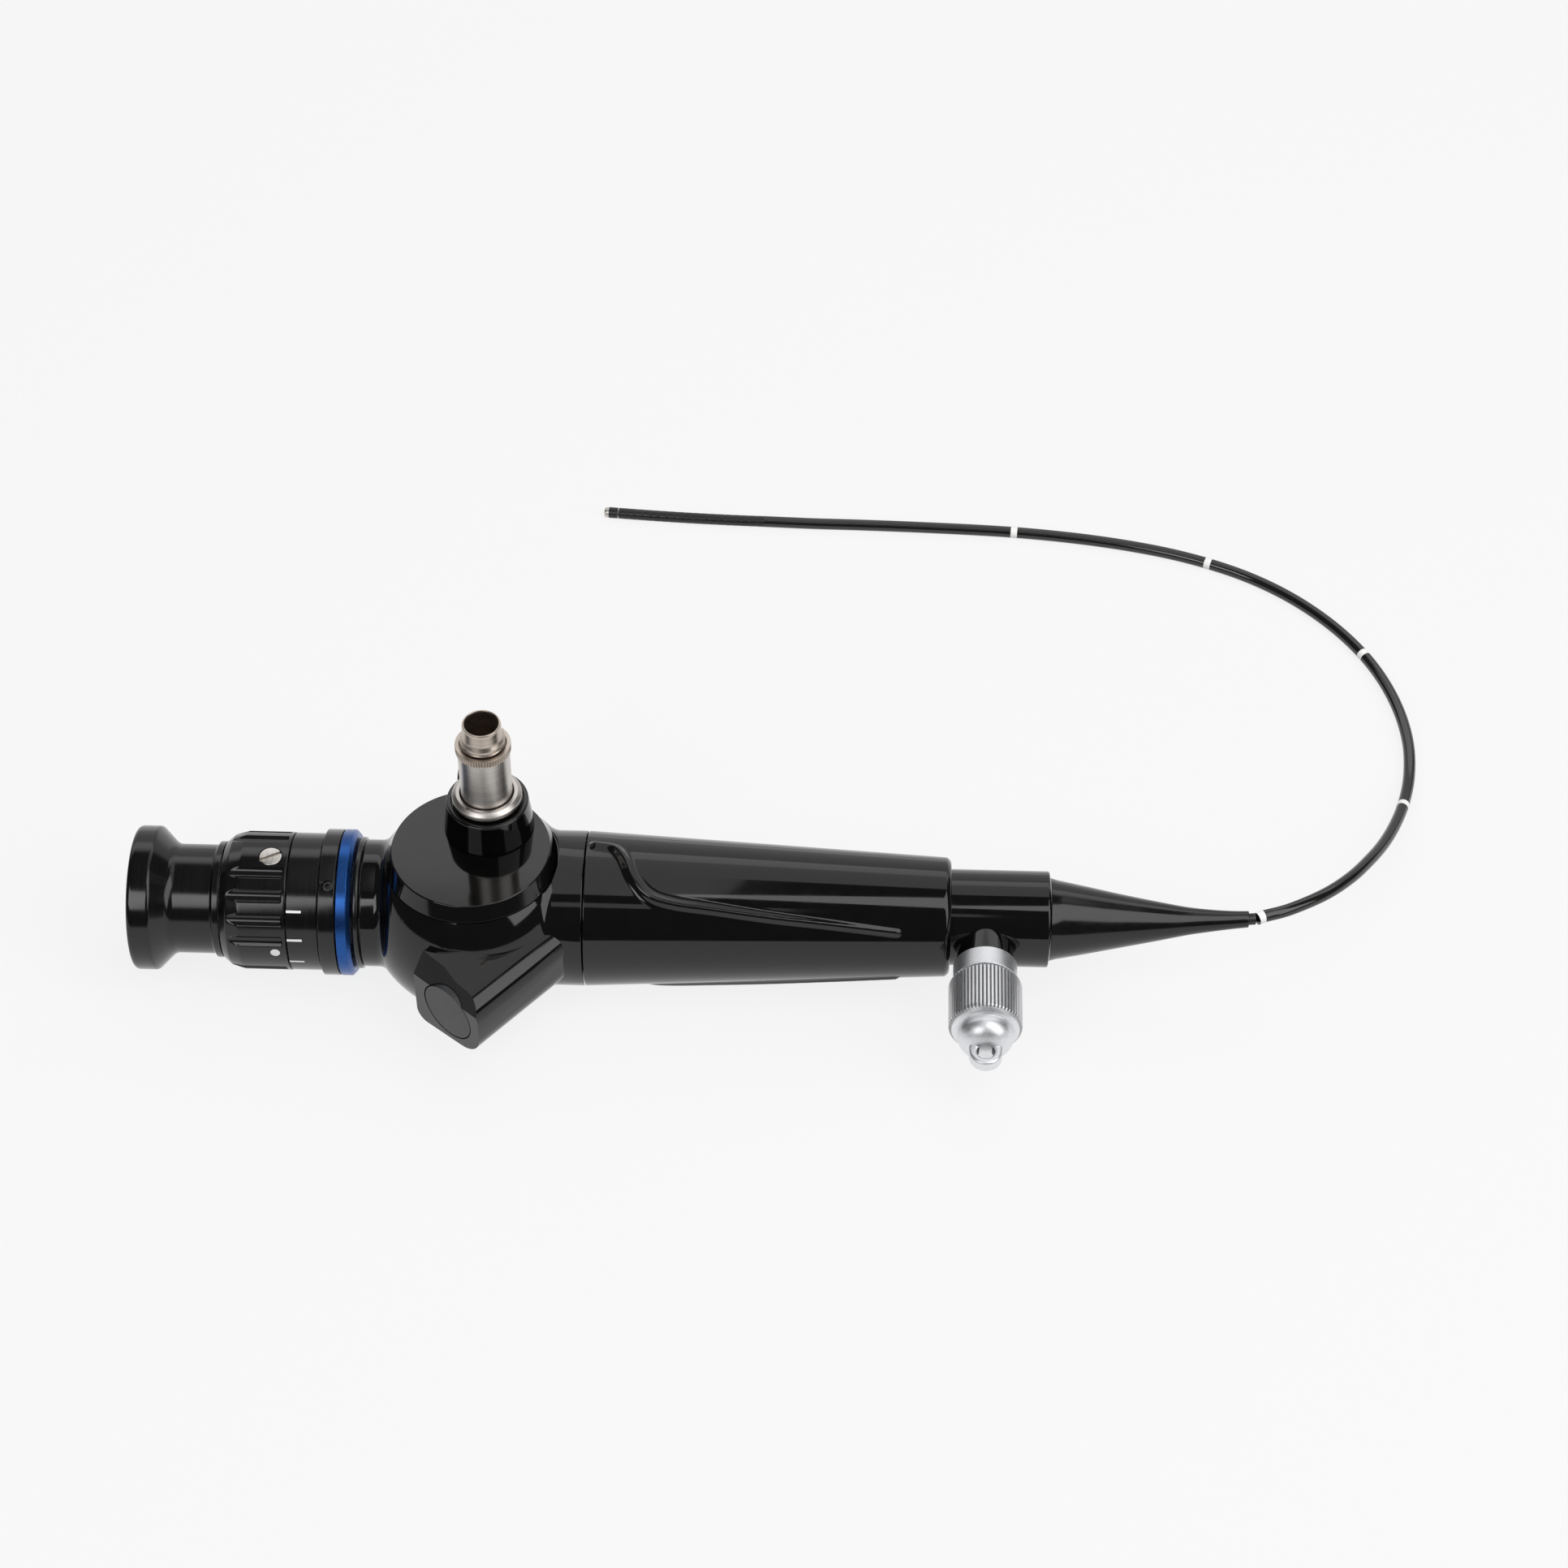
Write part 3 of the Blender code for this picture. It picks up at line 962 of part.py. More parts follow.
def make_port():
    edge = 0.5 * mm
    neck = turned("port_housing", [
        (neck_start_x, 0.0), (neck_start_x, NECK_RADIUS), (neck_end_x - edge, NECK_RADIUS),
        (neck_end_x, NECK_RADIUS - edge), (neck_end_x, 0.0),
    ], "gloss_black", segments=26)
    port = centre + ALONG_X * port_x
    boss = rod("port_boss", 2 * mm, BOSS_END, BOSS_RADIUS, origin=port, axis=-ALONG_Y, segments=26)
    join_with(neck, boss)
    wide = rod("neck_bore", neck_start_x - 1 * mm, port_x + 7 * mm, NECK_BORE, segments=24)
    narrow = rod("neck_front_bore", port_x, neck_end_x + 1 * mm, NECK_FRONT_BORE)
    hole = rod("boss_bore", 4 * mm, BOSS_END + 2 * mm, FITTING_STEM_RADIUS + GAP, origin=port, axis=-ALONG_Y)
    cut_with(neck, wide, narrow, hole)
    collar_start = BOSS_END + GAP
    collar_end = collar_start + FITTING_COLLAR
    tip = FITTING_STEM_RADIUS + 0.2 * mm
    turned("port_fitting", [
        (FITTING_START, FITTING_STEM_RADIUS), (collar_start, FITTING_STEM_RADIUS),
        (collar_start, FITTING_COLLAR_RADIUS), (collar_end, FITTING_COLLAR_RADIUS), (collar_end, tip),
        (FITTING_TIP, tip - 0.3 * mm), (FITTING_TIP, FITTING_BORE), (FITTING_START, FITTING_BORE),
    ], "aluminium", origin=port, axis=-ALONG_Y, segments=30)
    route = [(port_x, -FITTING_START + GAP, 0.0), (port_x + 0.2 * mm, -6.6 * mm, 0.0),
             (port_x + 2.2 * mm, -4.1 * mm, 0.0), (port_x + 6.0 * mm, -2.9 * mm, 0.0),
             (port_x + 10.0 * mm, -2.6 * mm, 0.0), (guide_end_x, -2.6 * mm, 0.0)]
    tube("channel_tube", curve_through(route, 2.2 * mm), CHANNEL_RADIUS, "polymer_white", origin=centre)
    make_cap(port, collar_end + GAP)


def make_cap(port, start):
    knurl_start = start + KNURL_SHOULDER
    knurl_end = knurl_start + KNURL_LENGTH
    ring_start = knurl_end + KNURL_SHOULDER + 0.3 * mm
    dome = ring_start + CAP_RING
    core = KNURL_RADIUS - KNURL_DEPTH - 0.15 * mm
    seal_start = FITTING_TIP + GAP
    inside = seal_start + CAP_SEAL + GAP
    cap = turned("channel_cap", [
        (start, 0.0), (start, core - 0.5 * mm), (knurl_start - 0.2 * mm, core), (knurl_end + 0.3 * mm, core),
        (ring_start - 0.4 * mm, core - 0.55 * mm), (ring_start, core - 1.1 * mm), (ring_start, CAP_RING_RADIUS),
        (dome, CAP_RING_RADIUS), (dome + 0.3 * CAP_DOME, CAP_RING_RADIUS - 0.35 * mm),
        (dome + 0.62 * CAP_DOME, CAP_RING_RADIUS - 1.4 * mm), (dome + 0.88 * CAP_DOME, CAP_RING_RADIUS - 3.0 * mm),
        (dome + CAP_DOME, 0.0),
    ], "aluminium", origin=port, axis=-ALONG_Y, segments=30)
    band = toothed("knurl_band", knurl_start, knurl_end, KNURL_RADIUS, KNURL_DEPTH, KNURL_TEETH, None, port,
                   -ALONG_Y)
    hollow = rod("cap_bore", start - 1 * mm, inside, CAP_BORE, origin=port, axis=-ALONG_Y, segments=30)
    half = EYELET_WIDTH / 2
    hole_at = dome + EYELET_REACH
    turn = Matrix((ALONG_X, -ALONG_Y, -ALONG_Z)).transposed()
    tongue = plate("eyelet", rounded([(-half, dome, 0.0), (half, dome, 0.0), (half, hole_at + half, half * 0.98),
                                      (-half, hole_at + half, half * 0.98)], 6),
                   -EYELET_THICKNESS / 2, EYELET_THICKNESS / 2, turn, origin=port)
    hole = rod("eyelet_hole", -5 * mm, 5 * mm, EYELET_HOLE, origin=port - ALONG_Y * hole_at, axis=ALONG_Z,
               segments=20)
    join_with(cap, band, tongue)
    cut_with(cap, hollow, hole)
    turned("cap_seal", [
        (seal_start, 0.0), (seal_start, CAP_BORE - GAP), (seal_start + CAP_SEAL, CAP_BORE - GAP),
        (seal_start + CAP_SEAL, 0.0),
    ], "seal_rubber", origin=port, axis=-ALONG_Y, segments=24)


def boot_sag(x):
    share = max(0.0, (x - boot_start_x) / BOOT_LENGTH)
    return BOOT_SAG * share ** 3


def along_boot(start, end, count):
    places = [start + (end - start) * step / count for step in range(count + 1)]
    return [(x, boot_sag(x), 0.0) for x in places]


def make_boot():
    outer_points, outer_shares, inner_points, inner_shares = [], [], [], []
    last = len(BOOT_PROFILE) - 1
    for number, (share, radius) in enumerate(BOOT_PROFILE):
        x = boot_start_x + share * BOOT_LENGTH
        wall = BOOT_WALL + (BOOT_TIP_WALL - BOOT_WALL) * share ** 0.5
        beyond = {0: -1 * mm, last: 1 * mm}.get(number, 0.0)
        outer_points.append((x, boot_sag(x), 0.0))
        outer_shares.append(radius * mm)
        inner_points.append((x + beyond, boot_sag(x + beyond), 0.0))
        inner_shares.append(max(radius * mm - wall, FERRULE_RADIUS + GAP))
    outer = tube("boot", outer_points, 1.0, "rubber_black", resolution=6, shares=outer_shares, origin=centre)
    outer = made_mesh(outer, parts)
    give_finish(outer, "rubber_black")
    inner = tube("boot_bore", inner_points, 1.0, resolution=3, shares=inner_shares, origin=centre)
    cut_with(outer, inner)


def make_ferrule():
    sleeve = made_mesh(tube("tube_ferrule", along_boot(ferrule_start_x, ferrule_end_x, 7), FERRULE_RADIUS,
                            "steel", origin=centre), parts)
    give_finish(sleeve, "steel")
    bore = tube("ferrule_bore", along_boot(ferrule_start_x - 1 * mm, ferrule_end_x + 1 * mm, 7), FERRULE_BORE,
                origin=centre)
    cut_with(sleeve, bore)


def tube_route():
    start = Vector((ferrule_end_x + GAP, boot_sag(ferrule_end_x), AXIS_HEIGHT))
    return curve_through([start] + [Vector(point) * mm for point in TUBE_ROUTE], TUBE_STEP)


def make_insertion_tube():
    tube("insertion_tube", tube_route(), TUBE_DIAMETER / 2, "rubber_black")


def heading(number):
    turn = radians(BEND_HEADING + LINK_TURN * number)
    return Vector((cos(turn), sin(turn), 0.0))


def bend_pivots():
    # The first pivot lies just past the tube's end, each next one a link further
    pivots = [Vector(TUBE_ROUTE[-1]) * mm + heading(0) * GAP]
    for number in range(LINK_COUNT):
        pivots.append(pivots[-1] + heading(number) * LINK_PITCH)
    return pivots


def make_bending_section():
    pivots = bend_pivots()
    for number in range(LINK_COUNT):
        turned("bend_link_%d" % (number + 1), [
            (LINK_GAP / 2, LINK_RADIUS), (LINK_PITCH - LINK_GAP / 2, LINK_RADIUS),
            (LINK_PITCH - LINK_GAP / 2, LINK_BORE), (LINK_GAP / 2, LINK_BORE),
        ], "steel", origin=pivots[number], axis=heading(number), segments=14)
    cover = made_mesh(tube("bending_sheath", pivots, SHEATH_RADIUS, "rubber_black"), parts)
    give_finish(cover, "rubber_black")
    ends = [pivots[0] - heading(0) * mm] + pivots[1:-1] + [pivots[-1] + heading(LINK_COUNT - 1) * mm]
    cut_with(cover, tube("sheath_bore", ends, SHEATH_BORE))
    last, along = pivots[LINK_COUNT - 1], heading(LINK_COUNT - 1)
    start = LINK_PITCH + GAP
    end = start + TIP_LENGTH
    side = along.cross(ALONG_Z)
    tip = turned("distal_tip", [
        (start, 0.0), (start, SHEATH_RADIUS), (end - 0.3 * mm, SHEATH_RADIUS), (end, SHEATH_RADIUS - 0.25 * mm),
        (end, 0.0),
    ], "steel", origin=last, axis=along, segments=20)
    seat = rod("lens_seat", end - 0.9 * mm, end + 1 * mm, TIP_LENS_RADIUS + 0.1 * mm,
               origin=last + ALONG_Z * 0.5 * mm, axis=along, segments=14)
    outlet = rod("channel_outlet", start - 1 * mm, end + 1 * mm, 0.45 * mm,
                 origin=last - ALONG_Z * 0.55 * mm + side * 0.2 * mm, axis=along, segments=14)
    cut_with(tip, seat, outlet)
    rod("objective_lens", end - 0.8 * mm, end - 0.1 * mm, TIP_LENS_RADIUS, "polymer_white",
        origin=last + ALONG_Z * 0.5 * mm, axis=along, segments=14)


clear_scene()
parts = new_collection("flexible_endoscope")
cutters = new_collection("cutters")
make_eyecup()
make_eyepiece_tube()
make_dioptre_ring()
make_eyepiece_rings()
make_ocular()
make_housing()
make_valve()
make_cover_and_post()
make_handle()
make_chassis()
make_lever()
make_suction_tube()
make_port()
make_boot()
make_ferrule()
make_insertion_tube()
make_bending_section()
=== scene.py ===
import json
from bisect import bisect_left, bisect_right
from math import atan2, cos, degrees, pi, radians, sin, sqrt, tan

import bmesh
import bpy
from mathutils import Matrix, Vector

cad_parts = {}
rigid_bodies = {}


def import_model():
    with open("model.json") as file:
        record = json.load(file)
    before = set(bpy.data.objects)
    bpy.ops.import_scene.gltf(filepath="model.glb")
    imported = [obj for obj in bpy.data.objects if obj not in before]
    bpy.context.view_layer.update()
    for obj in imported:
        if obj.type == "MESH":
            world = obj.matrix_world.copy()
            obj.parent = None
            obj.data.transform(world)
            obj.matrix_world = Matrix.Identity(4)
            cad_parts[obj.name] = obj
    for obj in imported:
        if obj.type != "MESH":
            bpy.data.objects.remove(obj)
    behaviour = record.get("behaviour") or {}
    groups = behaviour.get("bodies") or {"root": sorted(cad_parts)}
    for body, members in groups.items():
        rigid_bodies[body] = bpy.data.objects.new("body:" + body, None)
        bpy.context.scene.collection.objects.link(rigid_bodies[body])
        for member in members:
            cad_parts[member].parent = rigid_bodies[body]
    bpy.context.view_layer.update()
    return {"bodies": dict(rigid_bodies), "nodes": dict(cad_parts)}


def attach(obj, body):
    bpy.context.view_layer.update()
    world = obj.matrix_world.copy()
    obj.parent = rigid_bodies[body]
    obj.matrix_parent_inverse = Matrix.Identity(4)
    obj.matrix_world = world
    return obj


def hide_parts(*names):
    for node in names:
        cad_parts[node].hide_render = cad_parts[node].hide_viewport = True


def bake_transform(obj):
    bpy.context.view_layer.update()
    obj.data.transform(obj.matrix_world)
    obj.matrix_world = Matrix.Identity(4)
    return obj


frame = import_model()
bodies, nodes = frame["bodies"], frame["nodes"]
mm = 0.001
axisHeight = 17.5 * mm  # main axis above the table
gap = 0.3 * mm  # between pieces that seat on each other
centre = Vector((0.0, 0.0, axisHeight))
alongX, alongY, alongZ = Vector((1.0, 0.0, 0.0)), Vector((0.0, 1.0, 0.0)), Vector((0.0, 0.0, 1.0))

# Camera, at the photograph's angle; degrees
cameraView = {
    "elevation": 46.315,
    "azimuth": 1.897,
    "distance": 854.77 * mm,
    "target": (67.139 * mm, 39.436 * mm, 17.5 * mm),
    "lens": 85.8,
    "sensor": 36.0,
}


def makeCamera():
    data = bpy.data.cameras.new("camera")
    data.lens, data.sensor_width = cameraView["lens"], cameraView["sensor"]
    data.clip_start, data.clip_end = 0.01, 20.0
    camera = bpy.data.objects.new("camera", data)
    bpy.context.scene.collection.objects.link(camera)
    rise, turn = radians(cameraView["elevation"]), radians(cameraView["azimuth"])
    back = Vector((sin(turn) * cos(rise), -cos(turn) * cos(rise), sin(rise)))
    camera.location = Vector(cameraView["target"]) + back * cameraView["distance"]
    camera.rotation_euler = (-back).to_track_quat("-Z", "Y").to_euler()
    bpy.context.scene.camera = camera


makeCamera()
bpy.context.scene.view_settings.view_transform = "Standard"
print("camera placed")


# Finishes: grain is the pattern's scale per metre along X, Y and Z
def finish(name, dark, light, rough, metallic=0.0, grain=(900.0, 900.0, 900.0), detail=3.0, bump=0.0,
           bumpDepth=0.02 * mm, wear=None, specular=0.5):
    look = bpy.data.materials.new(name)
    look.use_nodes = True
    tree = look.node_tree
    shader = tree.nodes["Principled BSDF"]
    shader.inputs["Metallic"].default_value = metallic
    shader.inputs["IOR"].default_value = 1.5
    shader.inputs["Specular IOR Level"].default_value = specular
    place = tree.nodes.new("ShaderNodeTexCoord")
    mapping = tree.nodes.new("ShaderNodeMapping")
    mapping.inputs["Scale"].default_value = grain
    tree.links.new(place.outputs["Object"], mapping.inputs["Vector"])
    noise = tree.nodes.new("ShaderNodeTexNoise")
    noise.inputs["Scale"].default_value = 1.0
    noise.inputs["Detail"].default_value = detail
    tree.links.new(mapping.outputs["Vector"], noise.inputs["Vector"])
    shades = tree.nodes.new("ShaderNodeValToRGB")
    shades.color_ramp.elements[0].position, shades.color_ramp.elements[1].position = 0.3, 0.7
    shades.color_ramp.elements[0].color = (*dark, 1.0)
    shades.color_ramp.elements[1].color = (*light, 1.0)
    tree.links.new(noise.outputs["Fac"], shades.inputs["Fac"])
    colour = shades.outputs["Color"]
    cloud = tree.nodes.new("ShaderNodeTexNoise")  # slow handling marks over the whole piece
    cloud.inputs["Scale"].default_value = 90.0
    cloud.inputs["Detail"].default_value = 2.0
    tree.links.new(place.outputs["Object"], cloud.inputs["Vector"])
    both = tree.nodes.new("ShaderNodeMath")
    both.operation = "ADD"
    tree.links.new(noise.outputs["Fac"], both.inputs[0])
    tree.links.new(cloud.outputs["Fac"], both.inputs[1])
    roughness = tree.nodes.new("ShaderNodeMapRange")
    roughness.inputs["From Min"].default_value = 0.7
    roughness.inputs["From Max"].default_value = 1.3
    roughness.inputs["To Min"].default_value, roughness.inputs["To Max"].default_value = rough
    tree.links.new(both.outputs["Value"], roughness.inputs["Value"])
    tree.links.new(roughness.outputs["Result"], shader.inputs["Roughness"])
    if wear:
        # a paler tone on the edges, where the finish is handled
        geometry = tree.nodes.new("ShaderNodeNewGeometry")
        edge = tree.nodes.new("ShaderNodeValToRGB")
        edge.color_ramp.elements[0].position, edge.color_ramp.elements[1].position = 0.56, 0.66
        tree.links.new(geometry.outputs["Pointiness"], edge.inputs["Fac"])
        worn = tree.nodes.new("ShaderNodeMix")
        worn.data_type = "RGBA"
        worn.inputs["B"].default_value = (*wear, 1.0)
        tree.links.new(edge.outputs["Color"], worn.inputs["Factor"])
        tree.links.new(colour, worn.inputs["A"])
        colour = worn.outputs["Result"]
    tree.links.new(colour, shader.inputs["Base Color"])
    if bump:
        relief = tree.nodes.new("ShaderNodeBump")
        relief.inputs["Strength"].default_value = bump
        relief.inputs["Distance"].default_value = bumpDepth
        tree.links.new(noise.outputs["Fac"], relief.inputs["Height"])
        tree.links.new(relief.outputs["Normal"], shader.inputs["Normal"])
    return look


turnedX = (6500.0, 60.0, 60.0)  # lathe lines round the main axis
turnedZ = (60.0, 60.0, 6500.0)
satinBlack = finish("satinBlackAnodised", (0.003, 0.003, 0.0035), (0.006, 0.006, 0.007), (0.12, 0.19),
                    grain=turnedX, bump=0.12, bumpDepth=0.002 * mm, wear=(0.03, 0.03, 0.032))
glossBlack = finish("glossBlackLacquer", (0.0028, 0.0027, 0.0026), (0.0042, 0.004, 0.0039), (0.045, 0.085),
                    grain=(260.0, 260.0, 260.0), bump=0.05, bumpDepth=0.004 * mm)
buttonBlack = finish("buttonBlack", (0.024, 0.025, 0.027), (0.031, 0.032, 0.035), (0.36, 0.44),
                     grain=(5000.0, 5000.0, 5000.0), bump=0.1, bumpDepth=0.005 * mm)
faceBlack = finish("satinFaceBlack", (0.02, 0.02, 0.022), (0.028, 0.028, 0.03), (0.3, 0.38),
                   grain=(4000.0, 4000.0, 4000.0), bump=0.1, bumpDepth=0.005 * mm)
blueAnodised = finish("blueAnodised", (0.015, 0.07, 0.27), (0.028, 0.11, 0.37), (0.24, 0.34), metallic=0.9,
                      grain=(9000.0, 2500.0, 2500.0), bump=0.3, bumpDepth=0.006 * mm)
ringRubber = finish("glossRingRubber", (0.006, 0.006, 0.006), (0.01, 0.01, 0.01), (0.14, 0.2))
postSteel = finish("turnedSteel", (0.5, 0.47, 0.44), (0.66, 0.63, 0.6), (0.3, 0.4), metallic=1.0,
                   grain=turnedZ, bump=0.35, bumpDepth=0.006 * mm)
threadSteel = finish("warmThreadSteel", (0.42, 0.35, 0.29), (0.62, 0.56, 0.5), (0.26, 0.38), metallic=1.0,
                     grain=turnedZ, bump=0.45, bumpDepth=0.01 * mm)
screwSteel = finish("screwSteel", (0.52, 0.49, 0.45), (0.74, 0.71, 0.67), (0.26, 0.36), metallic=1.0,
                    grain=(2600.0, 300.0, 2600.0), bump=0.3, bumpDepth=0.006 * mm)
blackSteel = finish("blackenedSteel", (0.03, 0.03, 0.03), (0.08, 0.08, 0.08), (0.3, 0.45), metallic=1.0,
                    grain=(3000.0, 3000.0, 3000.0), bump=0.2)
capAluminium = finish("brightAluminium", (0.76, 0.77, 0.79), (0.86, 0.87, 0.89), (0.38, 0.48), metallic=1.0,
                      grain=(1800.0, 1800.0, 1800.0), bump=0.25, bumpDepth=0.008 * mm)
# darker aluminium for the knurl's grooves: painted shade
grooveShadeAluminium = finish("grooveShadeAluminium", (0.44, 0.44, 0.45), (0.56, 0.56, 0.57), (0.4, 0.55), metallic=1.0,
                         grain=(1800.0, 1800.0, 1800.0), bump=0.25, bumpDepth=0.008 * mm)
innerAluminium = finish("innerAluminium", (0.6, 0.61, 0.62), (0.75, 0.76, 0.77), (0.3, 0.45), metallic=1.0,
                        grain=turnedX, bump=0.3)
brass = finish("plainBrass", (0.58, 0.4, 0.15), (0.72, 0.53, 0.24), (0.25, 0.4), metallic=1.0,
               grain=(2500.0, 2500.0, 2500.0), bump=0.2)
bootRubber = finish("bootRubber", (0.004, 0.004, 0.0045), (0.007, 0.007, 0.008), (0.11, 0.18),
                    grain=(420.0, 1400.0, 1400.0), detail=5.0, bump=0.06, bumpDepth=0.012 * mm)
tubeBlack = finish("tubeBlack", (0.006, 0.006, 0.006), (0.01, 0.01, 0.009), (0.09, 0.16),
                   grain=(700.0, 700.0, 700.0), bump=0.05, specular=0.7)
sheathRubber = finish("sheathRubber", (0.008, 0.008, 0.008), (0.014, 0.014, 0.014), (0.26, 0.36),
                      grain=(500.0, 4000.0, 4000.0), bump=0.25)
sealRubber = finish("sealRubber", (0.04, 0.04, 0.04), (0.055, 0.055, 0.055), (0.5, 0.65), bump=0.15)
markWhiteGlowing = finish("markWhiteGlowing", (0.92, 0.92, 0.91), (0.97, 0.97, 0.96), (0.3, 0.45),
                   grain=(3000.0, 3000.0, 3000.0), bump=0.15)
fibreJacket = finish("fibreJacket", (0.62, 0.56, 0.44), (0.74, 0.7, 0.6), (0.35, 0.5),
                     grain=(9000.0, 9000.0, 9000.0), bump=0.3)
polymerWhite = finish("polymerWhite", (0.68, 0.68, 0.65), (0.76, 0.76, 0.73), (0.35, 0.5))
windowGlass = finish("coatedGlass", (0.62, 0.75, 0.72), (0.7, 0.82, 0.8), (0.02, 0.05))
windowGlass.node_tree.nodes["Principled BSDF"].inputs["Transmission Weight"].default_value = 0.92
# the white marks also glow on their own: painted light that makes them brighter than the lamps light them
markGlow = markWhiteGlowing.node_tree.nodes["Principled BSDF"]
markGlow.inputs["Emission Color"].default_value = (1.0, 1.0, 1.0, 1.0)
markGlow.inputs["Emission Strength"].default_value = 0.25
print("finishes made")


# Making and dressing of pieces
def dress(piece, look, body, replaced=(), sharp=35.0):
    piece.data.materials.clear()
    piece.data.materials.append(look)
    piece.data.shade_smooth()
    piece.data.set_sharp_from_angle(angle=radians(sharp))
    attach(piece, body)
    if replaced:
        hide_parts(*replaced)
    weight = piece.modifiers.new("flats", "WEIGHTED_NORMAL")  # flat faces stay flat beside rounded edges
    weight.keep_sharp = True
    weight.weight = 90
    return piece


def meshPiece(name, shape):
    mesh = bpy.data.meshes.new(name)
    shape.to_mesh(mesh)
    shape.free()
    piece = bpy.data.objects.new(name, mesh)
    bpy.context.scene.collection.objects.link(piece)
    return piece


def standing(axis, origin):
    # own Z along the axis, own Y up
    return Matrix.Translation(origin) @ Vector(axis).to_track_quat("Z", "Y").to_matrix().to_4x4()


def softened(corners, steps=4):
    # every corner is (along, radius, size of its rounding)
    points = []
    count = len(corners)
    for number, (along, radius, size) in enumerate(corners):
        here = Vector((along, radius))
        if not size:
            points.append(here)
            continue
        before = Vector(corners[number - 1][:2]) - here
        after = Vector(corners[(number + 1) % count][:2]) - here
        first = here + before.normalized() * min(size, 0.45 * before.length)
        last = here + after.normalized() * min(size, 0.45 * after.length)
        for step in range(steps + 1):
            share = step / steps
            points.append(first.lerp(here, share).lerp(here.lerp(last, share), share))
    return points


def spun(corners, segments=128, steps=4, spread=0.0):
    shape = bmesh.new()
    outline = softened(corners, steps)
    if outline[0].y > 0.0 or outline[-1].y > 0.0:
        outline.append(outline[0])
    verts = [shape.verts.new((point.y, 0.0, point.x)) for point in outline]
    edges = [shape.edges.new(pair) for pair in zip(verts, verts[1:])]
    if spread:
        long = [edge for edge in edges if edge.calc_length() > spread]
        for edge in long:
            bmesh.ops.subdivide_edges(shape, edges=[edge], cuts=int(edge.calc_length() / spread))
    bmesh.ops.remove_doubles(shape, verts=shape.verts, dist=0.0001 * mm)
    bmesh.ops.spin(shape, geom=shape.verts[:] + shape.edges[:], cent=(0.0, 0.0, 0.0), axis=(0.0, 0.0, 1.0),
                   dvec=(0.0, 0.0, 0.0), angle=2 * pi, steps=segments, use_merge=True)
    bmesh.ops.remove_doubles(shape, verts=shape.verts, dist=0.0001 * mm)
    bmesh.ops.recalc_face_normals(shape, faces=shape.faces)
    return shape


def turned(name, corners, origin=centre, axis=alongX, segments=128, steps=4, reshape=None, spread=0.0):
    shape = spun(corners, segments, steps, spread)
    if reshape:
        for vert in shape.verts:
            vert.co = reshape(vert.co)
    bmesh.ops.transform(shape, matrix=standing(axis, origin), verts=shape.verts)
    return meshPiece(name, shape)


def rod(name, low, high, radius, origin=centre, axis=alongX, segments=48):
    shape = bmesh.new()
    bmesh.ops.create_cone(shape, cap_ends=True, segments=segments, radius1=radius, radius2=radius,
                          depth=high - low, matrix=Matrix.Translation((0.0, 0.0, (low + high) / 2)))
    bmesh.ops.transform(shape, matrix=standing(axis, origin), verts=shape.verts)
    return meshPiece(name, shape)


def box(name, low, high, place=Matrix.Identity(4)):
    shape = bmesh.new()
    low, high = Vector(low), Vector(high)
    bmesh.ops.create_cube(shape, size=1.0)
    bmesh.ops.scale(shape, vec=high - low, verts=shape.verts)
    bmesh.ops.translate(shape, vec=(low + high) / 2, verts=shape.verts)
    bmesh.ops.transform(shape, matrix=place, verts=shape.verts)
    return meshPiece(name, shape)


def combine(piece, other, how):
    # one Boolean, applied, and the other piece goes
    change = piece.modifiers.new("change", "BOOLEAN")
    change.operation, change.object = how, other
    bpy.context.view_layer.update()
    seen = piece.evaluated_get(bpy.context.evaluated_depsgraph_get())
    mesh = bpy.data.meshes.new_from_object(seen)
    piece.modifiers.clear()
    old = piece.data
    piece.data = mesh
    bpy.data.meshes.remove(old)
    bpy.data.objects.remove(other, do_unlink=True)


def atAngle(angle):
    # square to the main axis, from -Y towards +Z
    return Vector((0.0, -cos(radians(angle)), sin(radians(angle))))


def curveThrough(points, spacing):
    # Catmull-Rom curve through the points, then even steps along it
    ends = [points[0] * 2 - points[1]] + list(points) + [points[-1] * 2 - points[-2]]
    fine = [points[0].copy()]
    for a, b, c, d in zip(ends, ends[1:], ends[2:], ends[3:]):
        for step in range(1, 13):
            t = step / 12
            fine.append(0.5 * (2 * b + (c - a) * t + (2 * a - 5 * b + 4 * c - d) * t * t
                               + (3 * b - a - 3 * c + d) * t * t * t))
    lengths = [0.0]
    for a, b in zip(fine, fine[1:]):
        lengths.append(lengths[-1] + (b - a).length)
    count = max(1, round(lengths[-1] / spacing))
    result, index = [], 0
    for step in range(count + 1):
        want = lengths[-1] * step / count
        while index < len(fine) - 2 and lengths[index + 1] < want:
            index += 1
        share = (want - lengths[index]) / (lengths[index + 1] - lengths[index])
        result.append(fine[index].lerp(fine[index + 1], share))
    return result


